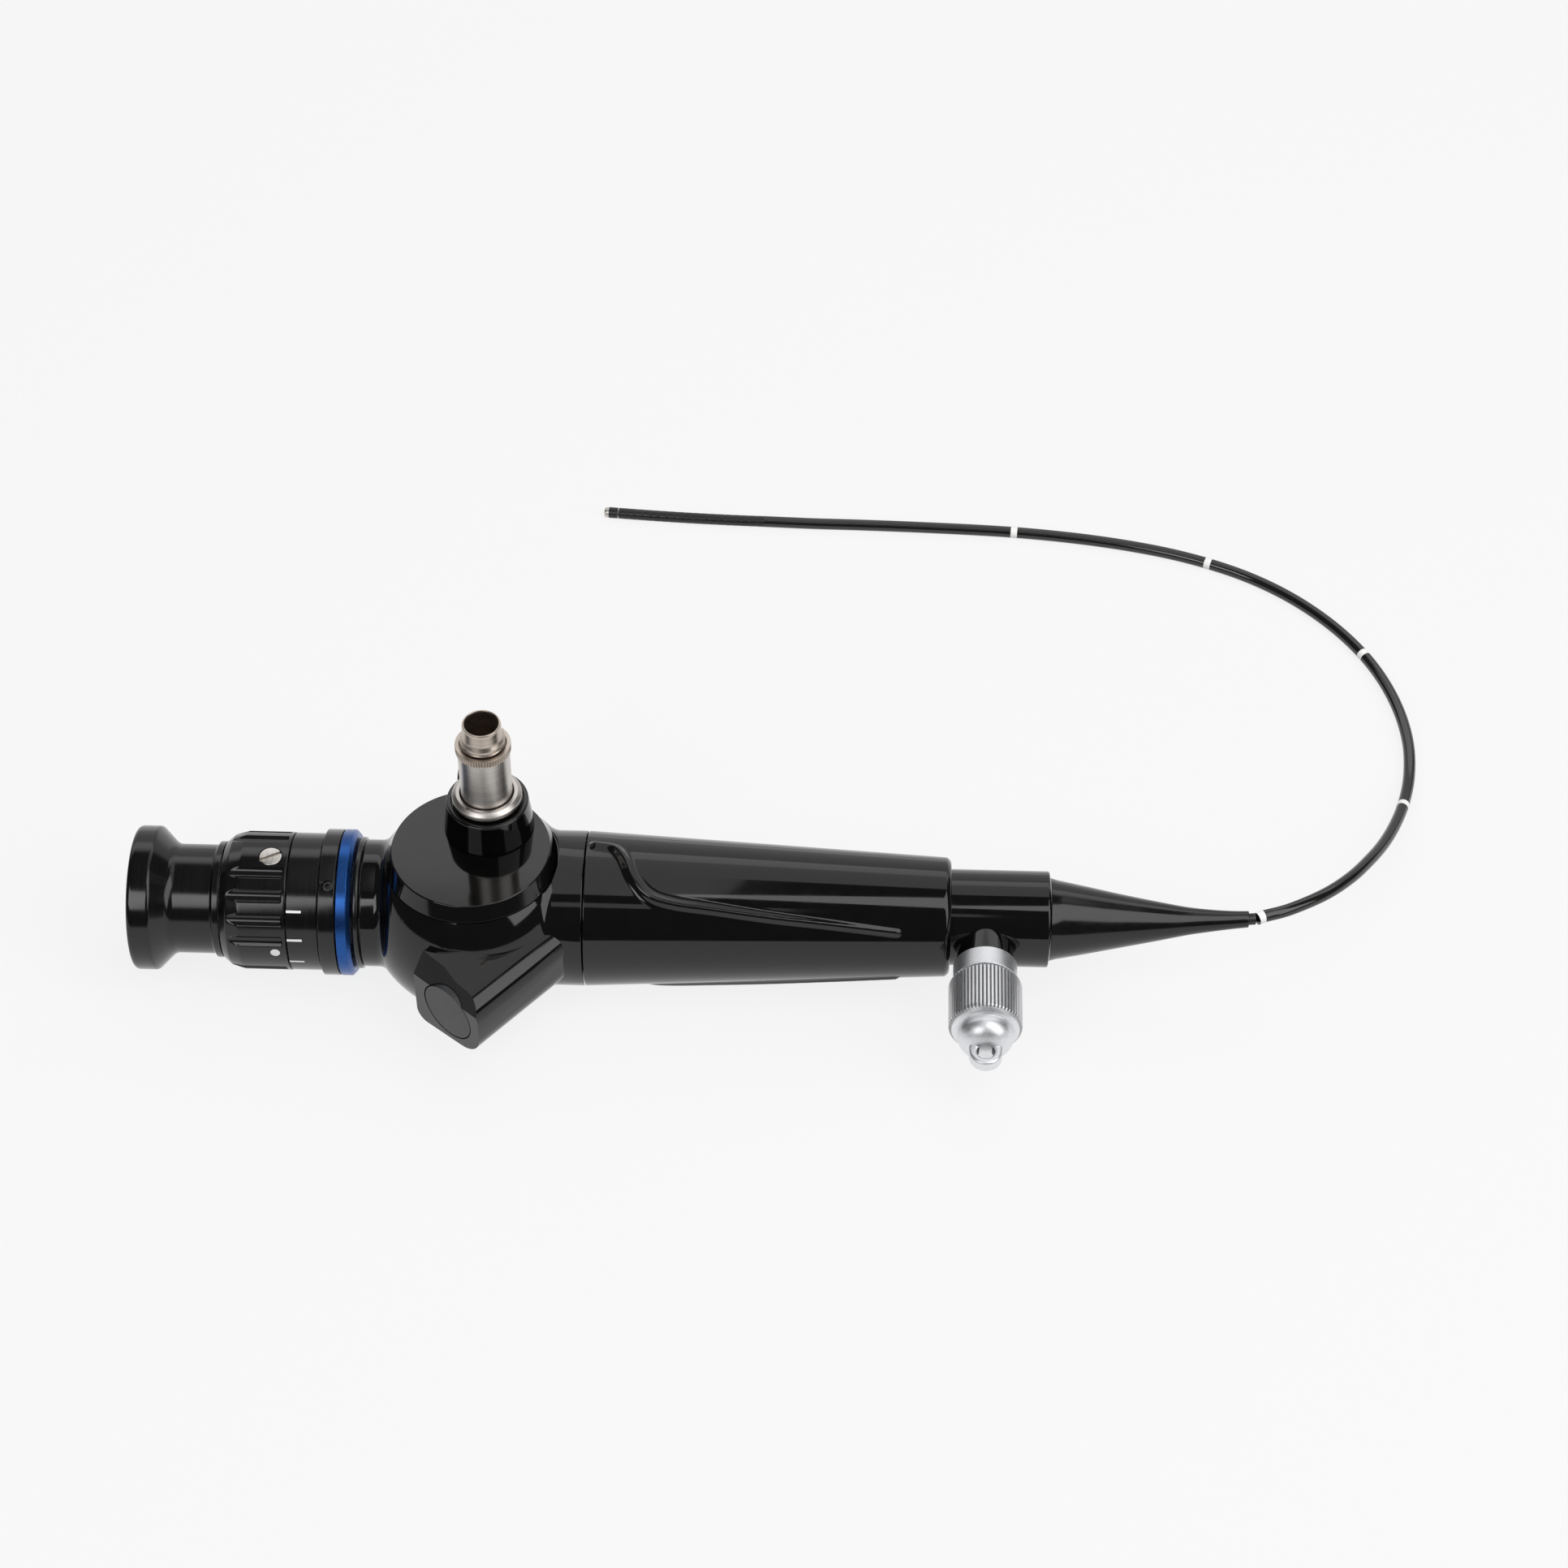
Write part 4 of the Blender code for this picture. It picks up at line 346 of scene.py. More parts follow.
# Insertion tube: one free cord from the ferrule to the bending section
tube = {
    "diameter": 2.8 * mm,
    "start": (173.04, 1.67, 17.5),
    "route": (
        (174.6, 2.5, 17.5), (180.4, 4.8, 17.4), (188.5, 10.5, 16.2), (195.0, 17.7, 14.0), (200.2, 25.8, 11.2),
        (204.6, 34.2, 8.1), (208.3, 43.1, 5.3), (211.3, 52.3, 3.0), (213.4, 62.0, 1.7), (214.1, 72.0, 1.5),
        (213.1, 81.9, 1.5), (210.6, 91.6, 1.5), (206.7, 100.8, 1.5), (201.4, 109.3, 1.5), (195.0, 116.9, 1.5),
        (187.6, 123.6, 1.5), (179.3, 129.2, 1.5), (170.3, 133.6, 1.5), (160.9, 137.0, 1.5),
        (151.3, 139.5, 1.5), (141.5, 141.4, 1.5), (131.6, 142.8, 1.5), (121.6, 143.8, 1.5),
        (111.6, 144.4, 1.5), (101.6, 144.8, 1.5), (91.6, 145.1, 1.5), (81.6, 145.3, 1.5),
        (71.6, 145.4, 1.5), (64.6, 145.6, 1.5), (58.6, 145.8, 1.5),
    ),
    "marks": (0.9, 66.1, 120.0, 168.9, 218.2),  # white rings' middles, mm along the tube
    "markWidth": 1.6 * mm,
    "markProud": 0.03 * mm,
}


def pathLength(points):
    return sum((b - a).length for a, b in zip(points, points[1:]))


def stretchOf(points, low, high, count):
    # the part of a path between two distances along it
    result, total = [], 0.0
    wanted = [low + (high - low) * step / count for step in range(count + 1)]
    for a, b in zip(points, points[1:]):
        length = (b - a).length
        while wanted and total + length >= wanted[0]:
            result.append(a.lerp(b, (wanted[0] - total) / length))
            wanted.pop(0)
        total += length
    return result


def roundLine(name, points, radius, look, body, replaced=(), sides=10):
    curve = bpy.data.curves.new(name, "CURVE")
    curve.dimensions = "3D"
    curve.bevel_depth, curve.bevel_resolution = radius, sides
    curve.use_fill_caps = True
    line = curve.splines.new("POLY")
    line.points.add(len(points) - 1)
    for spot, point in zip(line.points, points):
        spot.co = (*point, 1.0)
    line.use_smooth = True
    piece = bpy.data.objects.new(name, curve)
    bpy.context.scene.collection.objects.link(piece)
    curve.materials.append(look)
    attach(piece, body)
    if replaced:
        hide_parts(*replaced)
    return piece


tubeStart = Vector(tube["start"]) * mm
tubePath = curveThrough([tubeStart] + [Vector(point) * mm for point in tube["route"]], 1.0 * mm)
tubePiece = roundLine("insertionTube", tubePath, tube["diameter"] / 2, tubeBlack, "root",
                      ["insertion_tube"])
for number, middle in enumerate(tube["marks"]):
    half = tube["markWidth"] / 2
    part = stretchOf(tubePath, middle * mm - half, middle * mm + half, 8)
    roundLine("tubeMark.%d" % (number + 1), part, tube["diameter"] / 2 + tube["markProud"],
                               markWhiteGlowing, "root")

# Bending section: eight links under one rubber sheath, which is cut where the links' middles lie
bending = {
    "links": 8,
    "pitch": 4.55 * mm,
    "heading": 178.6,
    "turn": -0.45,
    "radius": 1.37 * mm,
    "ribPitch": 2.0 * mm,
    "ribDepth": 0.03 * mm,
    "tipLength": 3.3 * mm,
    "tipShown": 1.1 * mm,
    "lensSeat": 0.55 * mm,
    "outlet": 0.45 * mm,
}


def heading(number):
    turn = radians(bending["heading"] + bending["turn"] * number)
    return Vector((cos(turn), sin(turn), 0.0))


def makeBendingSection():
    pivots = [Vector(tube["route"][-1]) * mm + heading(0) * gap]
    for number in range(bending["links"]):
        pivots.append(pivots[-1] + heading(number) * bending["pitch"])
    pieces = []
    radius, depth = bending["radius"], bending["ribDepth"]
    middles = [first.lerp(last, 0.5) for first, last in zip(pivots, pivots[1:])]
    cuts = [pivots[0] - heading(0) * (gap - 0.02 * mm)] + middles + [pivots[-1]]
    reached = 0.0
    for number in range(len(cuts) - 1):
        first, last = cuts[number], cuts[number + 1]
        bend = pivots[number] if 0 < number < bending["links"] else None
        path = [first, bend, last] if bend is not None else [first, last]
        legs = list(zip(path, path[1:]))
        shape = bmesh.new()
        ring = bmesh.ops.create_circle(shape, cap_ends=False, radius=radius, segments=32,
                                       matrix=standing(legs[0][1] - legs[0][0], first))
        edges = list({edge for vert in ring["verts"] for edge in vert.link_edges})
        total, walked = pathLength(path), 0.0
        steps = max(4, round(total / (0.25 * mm)))
        spots = stretchOf(path, 0.0, total * 0.99999, steps)
        for before, after in zip(spots, spots[1:]):
            grown = bmesh.ops.extrude_edge_only(shape, edges=edges)
            fresh = [item for item in grown["geom"] if isinstance(item, bmesh.types.BMVert)]
            edges = [item for item in grown["geom"] if isinstance(item, bmesh.types.BMEdge)
                     and all(vert in fresh for vert in item.verts)]
            bmesh.ops.translate(shape, vec=after - before, verts=fresh)
            walked += (after - before).length
            dip = 0.5 + 0.5 * cos(2 * pi * (reached + walked) / bending["ribPitch"])
            for vert in fresh:
                away = vert.co - after
                vert.co = after + away.normalized() * (radius - depth * dip ** 6)
        reached += total
        bmesh.ops.recalc_face_normals(shape, faces=shape.faces)
        piece = meshPiece("bendingSheath.%d" % (number + 1), shape)
        piece.data.materials.append(sheathRubber)
        piece.data.shade_smooth()
        if number < bending["links"]:
            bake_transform(piece)
        else:
            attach(piece, "bend_%d" % bending["links"])
        if number == 0:
            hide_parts("bending_sheath")
        pieces.append(piece)
    along = heading(bending["links"] - 1)
    begin = bending["pitch"] + gap
    end = begin + bending["tipLength"]
    sleeve = end - bending["tipShown"]
    tip = turned("distalTip", [
        (begin, 0.0, 0.0), (begin, radius, 0.0), (sleeve, radius, 0.1 * mm), (sleeve, radius - 0.1 * mm, 0.0),
        (end - 0.3 * mm, radius - 0.1 * mm, 0.2 * mm), (end, radius - 0.35 * mm, 0.1 * mm), (end, 0.0, 0.0),
    ], pivots[-2], along, segments=64)
    seatAt = pivots[-2] + alongZ * 0.5 * mm
    outletAt = pivots[-2] - alongZ * 0.55 * mm + along.cross(alongZ) * 0.2 * mm
    lensSeat = rod("lensSeat", end - 0.9 * mm, end + 1 * mm, bending["lensSeat"], seatAt, along)
    combine(tip, lensSeat, "DIFFERENCE")
    outlet = rod("outlet", begin - 1 * mm, end + 1 * mm, bending["outlet"], outletAt, along)
    combine(tip, outlet, "DIFFERENCE")
    dress(tip, postSteel, "bend_8", ["distal_tip"])
    tip.data.materials.append(sheathRubber)
    for face in tip.data.polygons:
        if (face.center - pivots[-2]).dot(along) < sleeve + 0.01 * mm:
            face.material_index = 1
    nodes["objective_lens"].data.materials.clear()
    nodes["objective_lens"].data.materials.append(windowGlass)
    return pieces + [tip]


sheathPieces = makeBendingSection()
linkNodes = [nodes["bend_link_%d" % (number + 1)] for number in range(bending["links"])]
print("insertion tube and bending section made,", round(pathLength(tubePath) / mm, 1), "mm of tube")

# Eyepiece: eyecup, dioptre ring and the rings in front of it
eyepiece = {
    "face": -75.0 * mm,
    "eyecupEnd": -55.3 * mm,
    "eyecupRadius": 16.0 * mm,
    "tubeRadius": 12.1 * mm,
    "bore": 10.8 * mm,
    "windowSeat": 9.3 * mm,
    "opening": 8.0 * mm,
    "dish": (8.6 * mm, 12.6 * mm, 13.0 * mm),
    "ringRear": -55.0 * mm,
    "ringFront": -40.2 * mm,
    "ringRadius": 15.3 * mm,
    "ringRearRadius": 13.1 * mm,
    "flutes": 18,
    "fluteStart": 11.5,
    "fluteRadius": 1.6 * mm,
    "fluteDepth": 0.8 * mm,
    "fluteRim": 0.7 * mm,
    "screwAngle": 87.7,
    "screwX": -44.1 * mm,
    "screwRadius": 2.5 * mm,
    "slotTurn": -62.0,
    "dotX": -42.7 * mm,
    "dotAngle": -0.4,
    "dotRadius": 1.05 * mm,
    "markAngles": (39.1, 13.4, -12.9),
    "markLength": 3.3 * mm,
    "markWidth": 0.55 * mm,
    "scale": (-39.9 * mm, -33.2 * mm, 15.2 * mm),
    "clamp": (-32.9 * mm, -29.3 * mm, 16.2 * mm),
    "blue": (-29.0 * mm, -26.0 * mm),
    "sealing": (-25.7 * mm, -24.3 * mm, 14.6 * mm),
    "clampScrewAngle": 60.2,
    "clampScrewX": -30.8 * mm,
    "clampScrewRadius": 1.2 * mm,
}


def makeEyecup():
    e = eyepiece
    x, big, small = e["face"], e["eyecupRadius"], e["tubeRadius"]
    cup = turned("eyecup_turned", [
        (x, big - 0.7 * mm, 0.3 * mm), (x + 0.25 * mm, big - 0.25 * mm, 0.2 * mm),
        (x + 0.8 * mm, big, 0.4 * mm), (x + 4.9 * mm, big, 0.5 * mm),
        (x + 8.2 * mm, small + 0.5 * mm, 0.6 * mm), (x + 9.2 * mm, small, 0.5 * mm),
        (x + 17.9 * mm, small, 0.25 * mm), (x + 18.3 * mm, small + 0.8 * mm, 0.2 * mm),
        (e["eyecupEnd"], small + 0.8 * mm, 0.15 * mm), (e["eyecupEnd"], e["bore"], 0.0),
        (x + 8.9 * mm, e["bore"], 0.0), (x + 8.6 * mm, e["windowSeat"], 0.0),
        (x + 6.8 * mm, e["windowSeat"], 0.0), (x + 6.8 * mm, e["opening"], 0.15 * mm),
        (x + 3.4 * mm, e["dish"][0], 1.5 * mm), (x + 0.5 * mm, e["dish"][1], 0.5 * mm),
        (x, e["dish"][2], 0.2 * mm),
    ], segments=160)
    dress(cup, satinBlack, "root", ["eyecup"])


def fluteRadiusAt(angle):
    # distance of a flute's floor from the main axis, or none beside the flutes
    e = eyepiece
    pitch = 360.0 / e["flutes"]
    number = round((angle - e["fluteStart"]) / pitch)
    middle = e["fluteStart"] + number * pitch
    for spared in (e["screwAngle"], 0.0):
        if abs((middle - spared + 180.0) % 360.0 - 180.0) < pitch / 2:
            return None
    middleRadius = e["ringRadius"] - e["fluteDepth"] + e["fluteRadius"]
    lean = radians(angle - middle)
    inside = e["fluteRadius"] ** 2 - (middleRadius * sin(lean)) ** 2
    return middleRadius * cos(lean) - sqrt(inside) if inside > 0.0 else None


def fluted(point):
    radius = Vector(point[:2]).length
    if radius < eyepiece["bore"] + mm or point.z > eyepiece["ringFront"] - eyepiece["fluteRim"]:
        return point
    floor = fluteRadiusAt(degrees(atan2(point.y, -point.x)))
    if floor is None or floor >= radius:
        return point
    return Vector((point.x * floor / radius, point.y * floor / radius, point.z))


def makeDioptreRing():
    e = eyepiece
    rear, front, radius = e["ringRear"], e["ringFront"], e["ringRadius"]
    width = front - rear
    rim = front - e["fluteRim"]
    ring = turned("dioptreRing", [
        (rear, e["ringRearRadius"], 0.12 * mm), (rear + 0.11 * width, radius - 0.8 * mm, 0.15 * mm),
        (rear + 0.3 * width, radius, 0.2 * mm), (rim, radius, 0.0), (rim + 0.03 * mm, radius, 0.0),
        (front, radius, 0.15 * mm), (front, e["bore"], 0.0), (rear, e["bore"], 0.0),
    ], segments=432, reshape=fluted, spread=0.35 * mm)
    screwAt, direction = centre + alongX * e["screwX"], atAngle(e["screwAngle"])
    combine(ring, rod("seat", e["bore"] + 0.5 * mm, radius + 2 * mm, e["screwRadius"] + 0.12 * mm,
                      screwAt, direction, 64), "DIFFERENCE")
    dress(ring, satinBlack, "dioptre", ["dioptre_ring"], 28.0)
    top = radius - 0.1 * mm
    screw = turned("dioptreScrew", [
        (e["bore"] + 0.6 * mm, 0.0, 0.0), (e["bore"] + 0.6 * mm, e["screwRadius"], 0.0),
        (top, e["screwRadius"], 0.25 * mm), (top, 0.0, 0.0),
    ], screwAt, direction, 64)
    slotPlace = standing(direction, screwAt) @ Matrix.Rotation(radians(e["slotTurn"]), 4, "Z")
    slot = box("slot", (-0.35 * mm, -5 * mm, top - 0.9 * mm), (0.35 * mm, 5 * mm, top + mm), slotPlace)
    combine(screw, slot, "DIFFERENCE")
    dress(screw, screwSteel, "dioptre", ["dioptre_screw"])
    dot = turned("dioptreDot", [
        (radius - 0.3 * mm, 0.0, 0.0), (radius - 0.3 * mm, e["dotRadius"], 0.0),
        (radius + 0.02 * mm, e["dotRadius"], 0.03 * mm), (radius + 0.03 * mm, 0.0, 0.0),
    ], centre + alongX * e["dotX"], atAngle(e["dotAngle"]), 48)
    dress(dot, markWhiteGlowing, "dioptre")


def ringPiece(name, rear, front, radius, edge):
    bore = eyepiece["bore"]
    corners = [(rear, radius, edge), (front, radius, edge), (front, bore, 0.0), (rear, bore, 0.0)]
    return turned(name, corners, segments=160)


def makeRings():
    e = eyepiece
    rear, front, radius = e["scale"]
    barrel = ringPiece("scaleBarrel", rear, front, radius, 0.15 * mm)
    dress(barrel, satinBlack, "root", ["scale_barrel"])
    for number, angle in enumerate(e["markAngles"]):
        away = atAngle(angle)
        side = alongX.cross(away)
        place = Matrix.Translation(centre) @ Matrix((alongX, side, away)).transposed().to_4x4()
        half = e["markWidth"] / 2
        mark = box("scaleMark.%d" % (number + 1), (rear + 0.05 * mm, -half, radius - 0.3 * mm),
                   (rear + e["markLength"], half, radius + 0.04 * mm), place)
        dress(mark, markWhiteGlowing, "root")
    rear, front, radius = e["clamp"]
    clamp = ringPiece("clampRing", rear, front, radius, 0.2 * mm)
    screwAt, direction = centre + alongX * e["clampScrewX"], atAngle(e["clampScrewAngle"])
    small = e["clampScrewRadius"]
    hole = rod("hole", radius - 3 * mm, radius + mm, small + 0.1 * mm, screwAt, direction)
    combine(clamp, hole, "DIFFERENCE")
    dress(clamp, satinBlack, "root", ["clamp_ring"])
    top = radius - 0.2 * mm
    screw = turned("clampScrew", [(e["bore"] + 0.2 * mm, 0.0, 0.0), (e["bore"] + 0.2 * mm, small, 0.0),
                                  (top, small, 0.2 * mm), (top, 0.0, 0.0)], screwAt, direction, 48)
    combine(screw, rod("socket", top - 1.0 * mm, top + mm, small * 0.52, screwAt, direction, 6), "DIFFERENCE")
    dress(screw, blackSteel, "root", ["clamp_screw"])
    rear, front = e["blue"]
    radius = e["clamp"][2]
    blue = turned("blueRing", [(rear, radius - 0.1 * mm, 0.0), (rear + 0.1 * mm, radius, 0.08 * mm),
                               (front - 0.8 * mm, radius, 0.1 * mm), (front, radius - 0.9 * mm, 0.1 * mm),
                               (front, e["bore"], 0.0), (rear, e["bore"], 0.0)], segments=160)
    dress(blue, blueAnodised, "root", ["blue_ring"])
    rear, front, radius = e["sealing"]
    seal = ringPiece("sealingRing", rear, front, radius, 0.6 * mm)
    dress(seal, ringRubber, "root", ["sealing_ring"])


makeEyecup()
makeDioptreRing()
makeRings()
print("eyepiece made")

# Control housing with its valve block, cover, valve button and return spring
housing = {
    "rear": -24.0 * mm,
    "sphere": 24.2 * mm,
    "rearNeck": 14.1 * mm,
    "rearFillet": 2.5 * mm,
    "frontNeck": 17.18 * mm,
    "frontFillet": 4.0 * mm,
    "seam": 24.92 * mm,
    "topFlat": 15.05 * mm,
    "bottomFlat": 13.2 * mm,
    "coverRadius": 18.96 * mm,
    "coverTopRadius": 17.27 * mm,
    "coverHeight": 3.42 * mm,
    "hubRadius": 20.6 * mm,
    "coverSeat": 19.36 * mm,
    "coverSpigot": 13.7 * mm,
    "chamber": 14.0 * mm,
    "rearBoreEnd": -20.0 * mm,
    "passage": 6.0 * mm,
    "pocketRadius": 12.6 * mm,
    "pocketDepth": 4 * mm,
}
valve = {
    "angle": 50.0,
    "offset": 17.47 * mm,
    "face": 25.97 * mm,
    "blockLength": 30.97 * mm,
    "lean": 35.0,
    "crease": 5.0 * mm,
    "buttonRadius": 6.87 * mm,
    "buttonLength": 5.5 * mm,
    "stem": 1.8 * mm,
    "hollow": 4.8 * mm,
    "floor": 16.97 * mm,
    "outline": (  # beside the button's axis, above the main axis, rounding
        (-10.0, -9.1, 2.8), (9.5, -7.8, 6.4), (9.5, 8.0, 5.2), (1.0, 8.5, 0.0), (-3.4, 9.6, 0.0),
        (-10.0, 9.8, 0.5),
    ),
}
valveIn = Vector((cos(radians(valve["angle"])), sin(radians(valve["angle"])), 0.0))
valveSide = Vector((valveIn.y, -valveIn.x, 0.0))
valveCentre = centre + valveSide * valve["offset"]
valveFrame = Matrix((valveSide, alongZ, -valveIn)).transposed().to_4x4()


def filletArc(sphere, neck, fillet, steps, side):
    # blend between a neck and the sphere, from the neck towards the sphere
    reach = sqrt((sphere + fillet) ** 2 - (neck + fillet) ** 2)
    lean = atan2(neck + fillet, reach)
    points = []
    for step in range(steps + 1):
        turn = -pi / 2 + (pi / 2 - lean) * step / steps
        points.append((side * (reach - fillet * cos(turn)), neck + fillet + fillet * sin(turn), 0.0))
    return points, pi / 2 - lean


def rounded(corners, steps=8):
    # flat outline whose corners are arcs of their own radius
    points = []
    count = len(corners)
    for number, (x, y, radius) in enumerate(corners):
        here = Vector((x, y)) * mm
        if not radius:
            points.append(here)
            continue
        before = (Vector(corners[number - 1][:2]) * mm - here).normalized()
        after = (Vector(corners[(number + 1) % count][:2]) * mm - here).normalized()
        half = before.angle(after) / 2
        middle = here + (before + after).normalized() * (radius * mm / sin(half))
        first = here + before * (radius * mm / tan(half)) - middle
        last = here + after * (radius * mm / tan(half)) - middle
        total = first.angle_signed(last)
        for step in range(steps + 1):
            points.append(middle + Matrix.Rotation(-total * step / steps, 2) @ first)
    return points


def prism(name, outline, low, high, place):
    shape = bmesh.new()
    face = shape.faces.new([shape.verts.new((point.x, point.y, low)) for point in outline])
    grown = bmesh.ops.extrude_face_region(shape, geom=[face])
    bmesh.ops.translate(shape, vec=(0.0, 0.0, high - low),
                        verts=[item for item in grown["geom"] if isinstance(item, bmesh.types.BMVert)])
    bmesh.ops.recalc_face_normals(shape, faces=shape.faces)
    bmesh.ops.transform(shape, matrix=place, verts=shape.verts)
    return meshPiece(name, shape)


def makeHousing():
    h = housing
    rear, rearLean = filletArc(h["sphere"], h["rearNeck"], h["rearFillet"], 12, -1.0)
    front, frontLean = filletArc(h["sphere"], h["frontNeck"], h["frontFillet"], 12, 1.0)
    start, end = pi / 2 + rearLean, pi / 2 - frontLean
    ball = []
    for step in range(1, 48):
        turn = start + (end - start) * step / 48
        ball.append((h["sphere"] * cos(turn), h["sphere"] * sin(turn), 0.0))
    seam = h["seam"] - gap / 2
    pocket = seam - h["pocketDepth"]
    corners = [(h["rear"], 0.0, 0.0), (h["rear"], h["rearNeck"], 0.25 * mm)] + rear + ball + front[::-1]
    corners += [(seam, h["frontNeck"], 0.2 * mm), (seam, h["pocketRadius"], 0.0),
                (pocket, h["pocketRadius"], 0.0), (pocket, 0.0, 0.0)]
    shell = turned("housingShell", corners, segments=180)
    block = prism("block", rounded(valve["outline"]), valve["face"] - valve["blockLength"], valve["face"],
                  Matrix.Translation(valveCentre) @ valveFrame)
    crease = valveCentre - valveIn * valve["face"] + alongZ * valve["crease"]
    slope = box("slope", (-15 * mm, 0.0, 0.0), (15 * mm, 15 * mm, 10 * mm),
                Matrix.Translation(crease) @ valveFrame @ Matrix.Rotation(radians(-valve["lean"]), 4, "X"))
    combine(block, slope, "DIFFERENCE")
    combine(shell, block, "UNION")
    outwards = -valveIn
    for cutter in (
        rod("top", h["topFlat"], 40 * mm, h["coverSeat"], axis=alongZ, segments=160),
        rod("bottom", -40 * mm, -h["bottomFlat"], h["hubRadius"], axis=alongZ, segments=160),
        rod("chamber", -30 * mm, 30 * mm, h["chamber"], axis=alongZ, segments=96),
        rod("rearBore", h["rear"] - mm, h["rearBoreEnd"], eyepiece["bore"], segments=96),
        rod("rearPassage", h["rear"] - mm, 0.0, h["passage"]),
        rod("buttonBore", valve["floor"], 40 * mm, valve["buttonRadius"] + 0.22 * mm,
            valveCentre, outwards, 128),
    ):
        combine(shell, cutter, "DIFFERENCE")
    dress(shell, glossBlack, "root", ["control_housing"], 24.0)
    shell.data.materials.append(faceBlack)
    lean = radians(valve["lean"])
    facet = outwards * cos(lean) + alongZ * sin(lean)
    for face in shell.data.polygons:
        away = face.center - centre
        if face.normal.dot(facet) > 0.995 and away.dot(outwards) > valve["face"] - 5 * mm:
            face.material_index = 1
    bevel = shell.modifiers.new("edges", "BEVEL")
    bevel.width, bevel.segments, bevel.limit_method, bevel.angle_limit = 0.22 * mm, 3, "ANGLE", radians(28.0)
    bevel.use_clamp_overlap = True
    bevel.harden_normals = True
    return shell


def makeCover():
    h = housing
    low = h["topFlat"] + gap
    high = low + h["coverHeight"]
    cover = turned("sideCover", [
        (low - 3 * mm, 0.0, 0.0), (low - 3 * mm, h["coverSpigot"], 0.0), (low, h["coverSpigot"], 0.0),
        (low, h["coverRadius"], 0.15 * mm), (high, h["coverTopRadius"], 0.22 * mm), (high, 0.0, 0.0),
    ], axis=alongZ, segments=200)
    dress(cover, glossBlack, "root", ["side_cover"], 24.0)


def makeValveButton():
    v = valve
    under = v["face"] - v["buttonLength"]
    foot, roof, radius = under - 6.5 * mm, under + 3.5 * mm, v["buttonRadius"] - 0.02 * mm
    button = turned("valveButton", [
        (foot, 0.0, 0.0), (foot, v["stem"], 0.2 * mm), (roof, v["stem"], 0.0), (roof, v["hollow"], 0.0),
        (under, v["hollow"], 0.0), (under, radius, 0.1 * mm), (v["face"], radius, 0.18 * mm),
        (v["face"], 0.0, 0.0),
    ], valveCentre, -valveIn, 128)
    dress(button, buttonBlack, "valve", ["valve_button"])


spring = {"low": 18.57 * mm, "high": 23.47 * mm, "radius": 3.7 * mm, "wire": 0.35 * mm, "turns": 4}


def makeValveSpring():
    # return spring, which shortens as the button goes in
    g, count, sides = spring, 160, 12
    place = standing(-valveIn, valveCentre)
    shape = bmesh.new()
    rings = []
    for step in range(count + 1):
        share = step / count
        turn = 2 * pi * g["turns"] * share
        away = Vector((cos(turn), sin(turn), 0.0))
        middle = away * g["radius"] + alongZ * (g["low"] + (g["high"] - g["low"]) * share)
        leans = [2 * pi * side / sides for side in range(sides)]
        rings.append([shape.verts.new(middle + (away * cos(lean) + alongZ * sin(lean)) * g["wire"])
                      for lean in leans])
    for first, last in zip(rings, rings[1:]):
        for side in range(sides):
            after = (side + 1) % sides
            shape.faces.new((first[side], first[after], last[after], last[side]))
    shape.faces.new(rings[0])
    shape.faces.new(rings[-1])
    bmesh.ops.recalc_face_normals(shape, faces=shape.faces)
    bmesh.ops.transform(shape, matrix=place, verts=shape.verts)
    piece = meshPiece("valveSpring", shape)
    piece.data.materials.append(screwSteel)
    piece.data.shade_smooth()
    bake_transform(piece)
    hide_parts("valve_spring")


makeHousing()
makeCover()
makeValveButton()
makeValveSpring()
print("control housing made")

# Light post on its socket
post = {
    "origin": (3.5 * mm, 7.27 * mm),
    "socket": (19.07 * mm, 26.82 * mm, 9.88 * mm, 8.94 * mm),
    "flange": (27.12 * mm, 29.32 * mm, 7.66 * mm),
    "pin": (-3.6 * mm, -5.55 * mm),
    "radius": 5.64 * mm,
    "threadLow": 42.32 * mm,
    "threadHigh": 46.82 * mm,
    "threadRadius": 4.9 * mm,
    "threadPitch": 0.5 * mm,
    "top": 50.22 * mm,
    "topRadius": 4.22 * mm,
    "bore": 3.64 * mm,
    "shelf": 30.82 * mm,
    "lightBore": 1.8 * mm,
    "collar": (42.52 * mm, 44.22 * mm, 6.06 * mm),
    "teeth": 60,
    "toothDepth": 0.3 * mm,
}


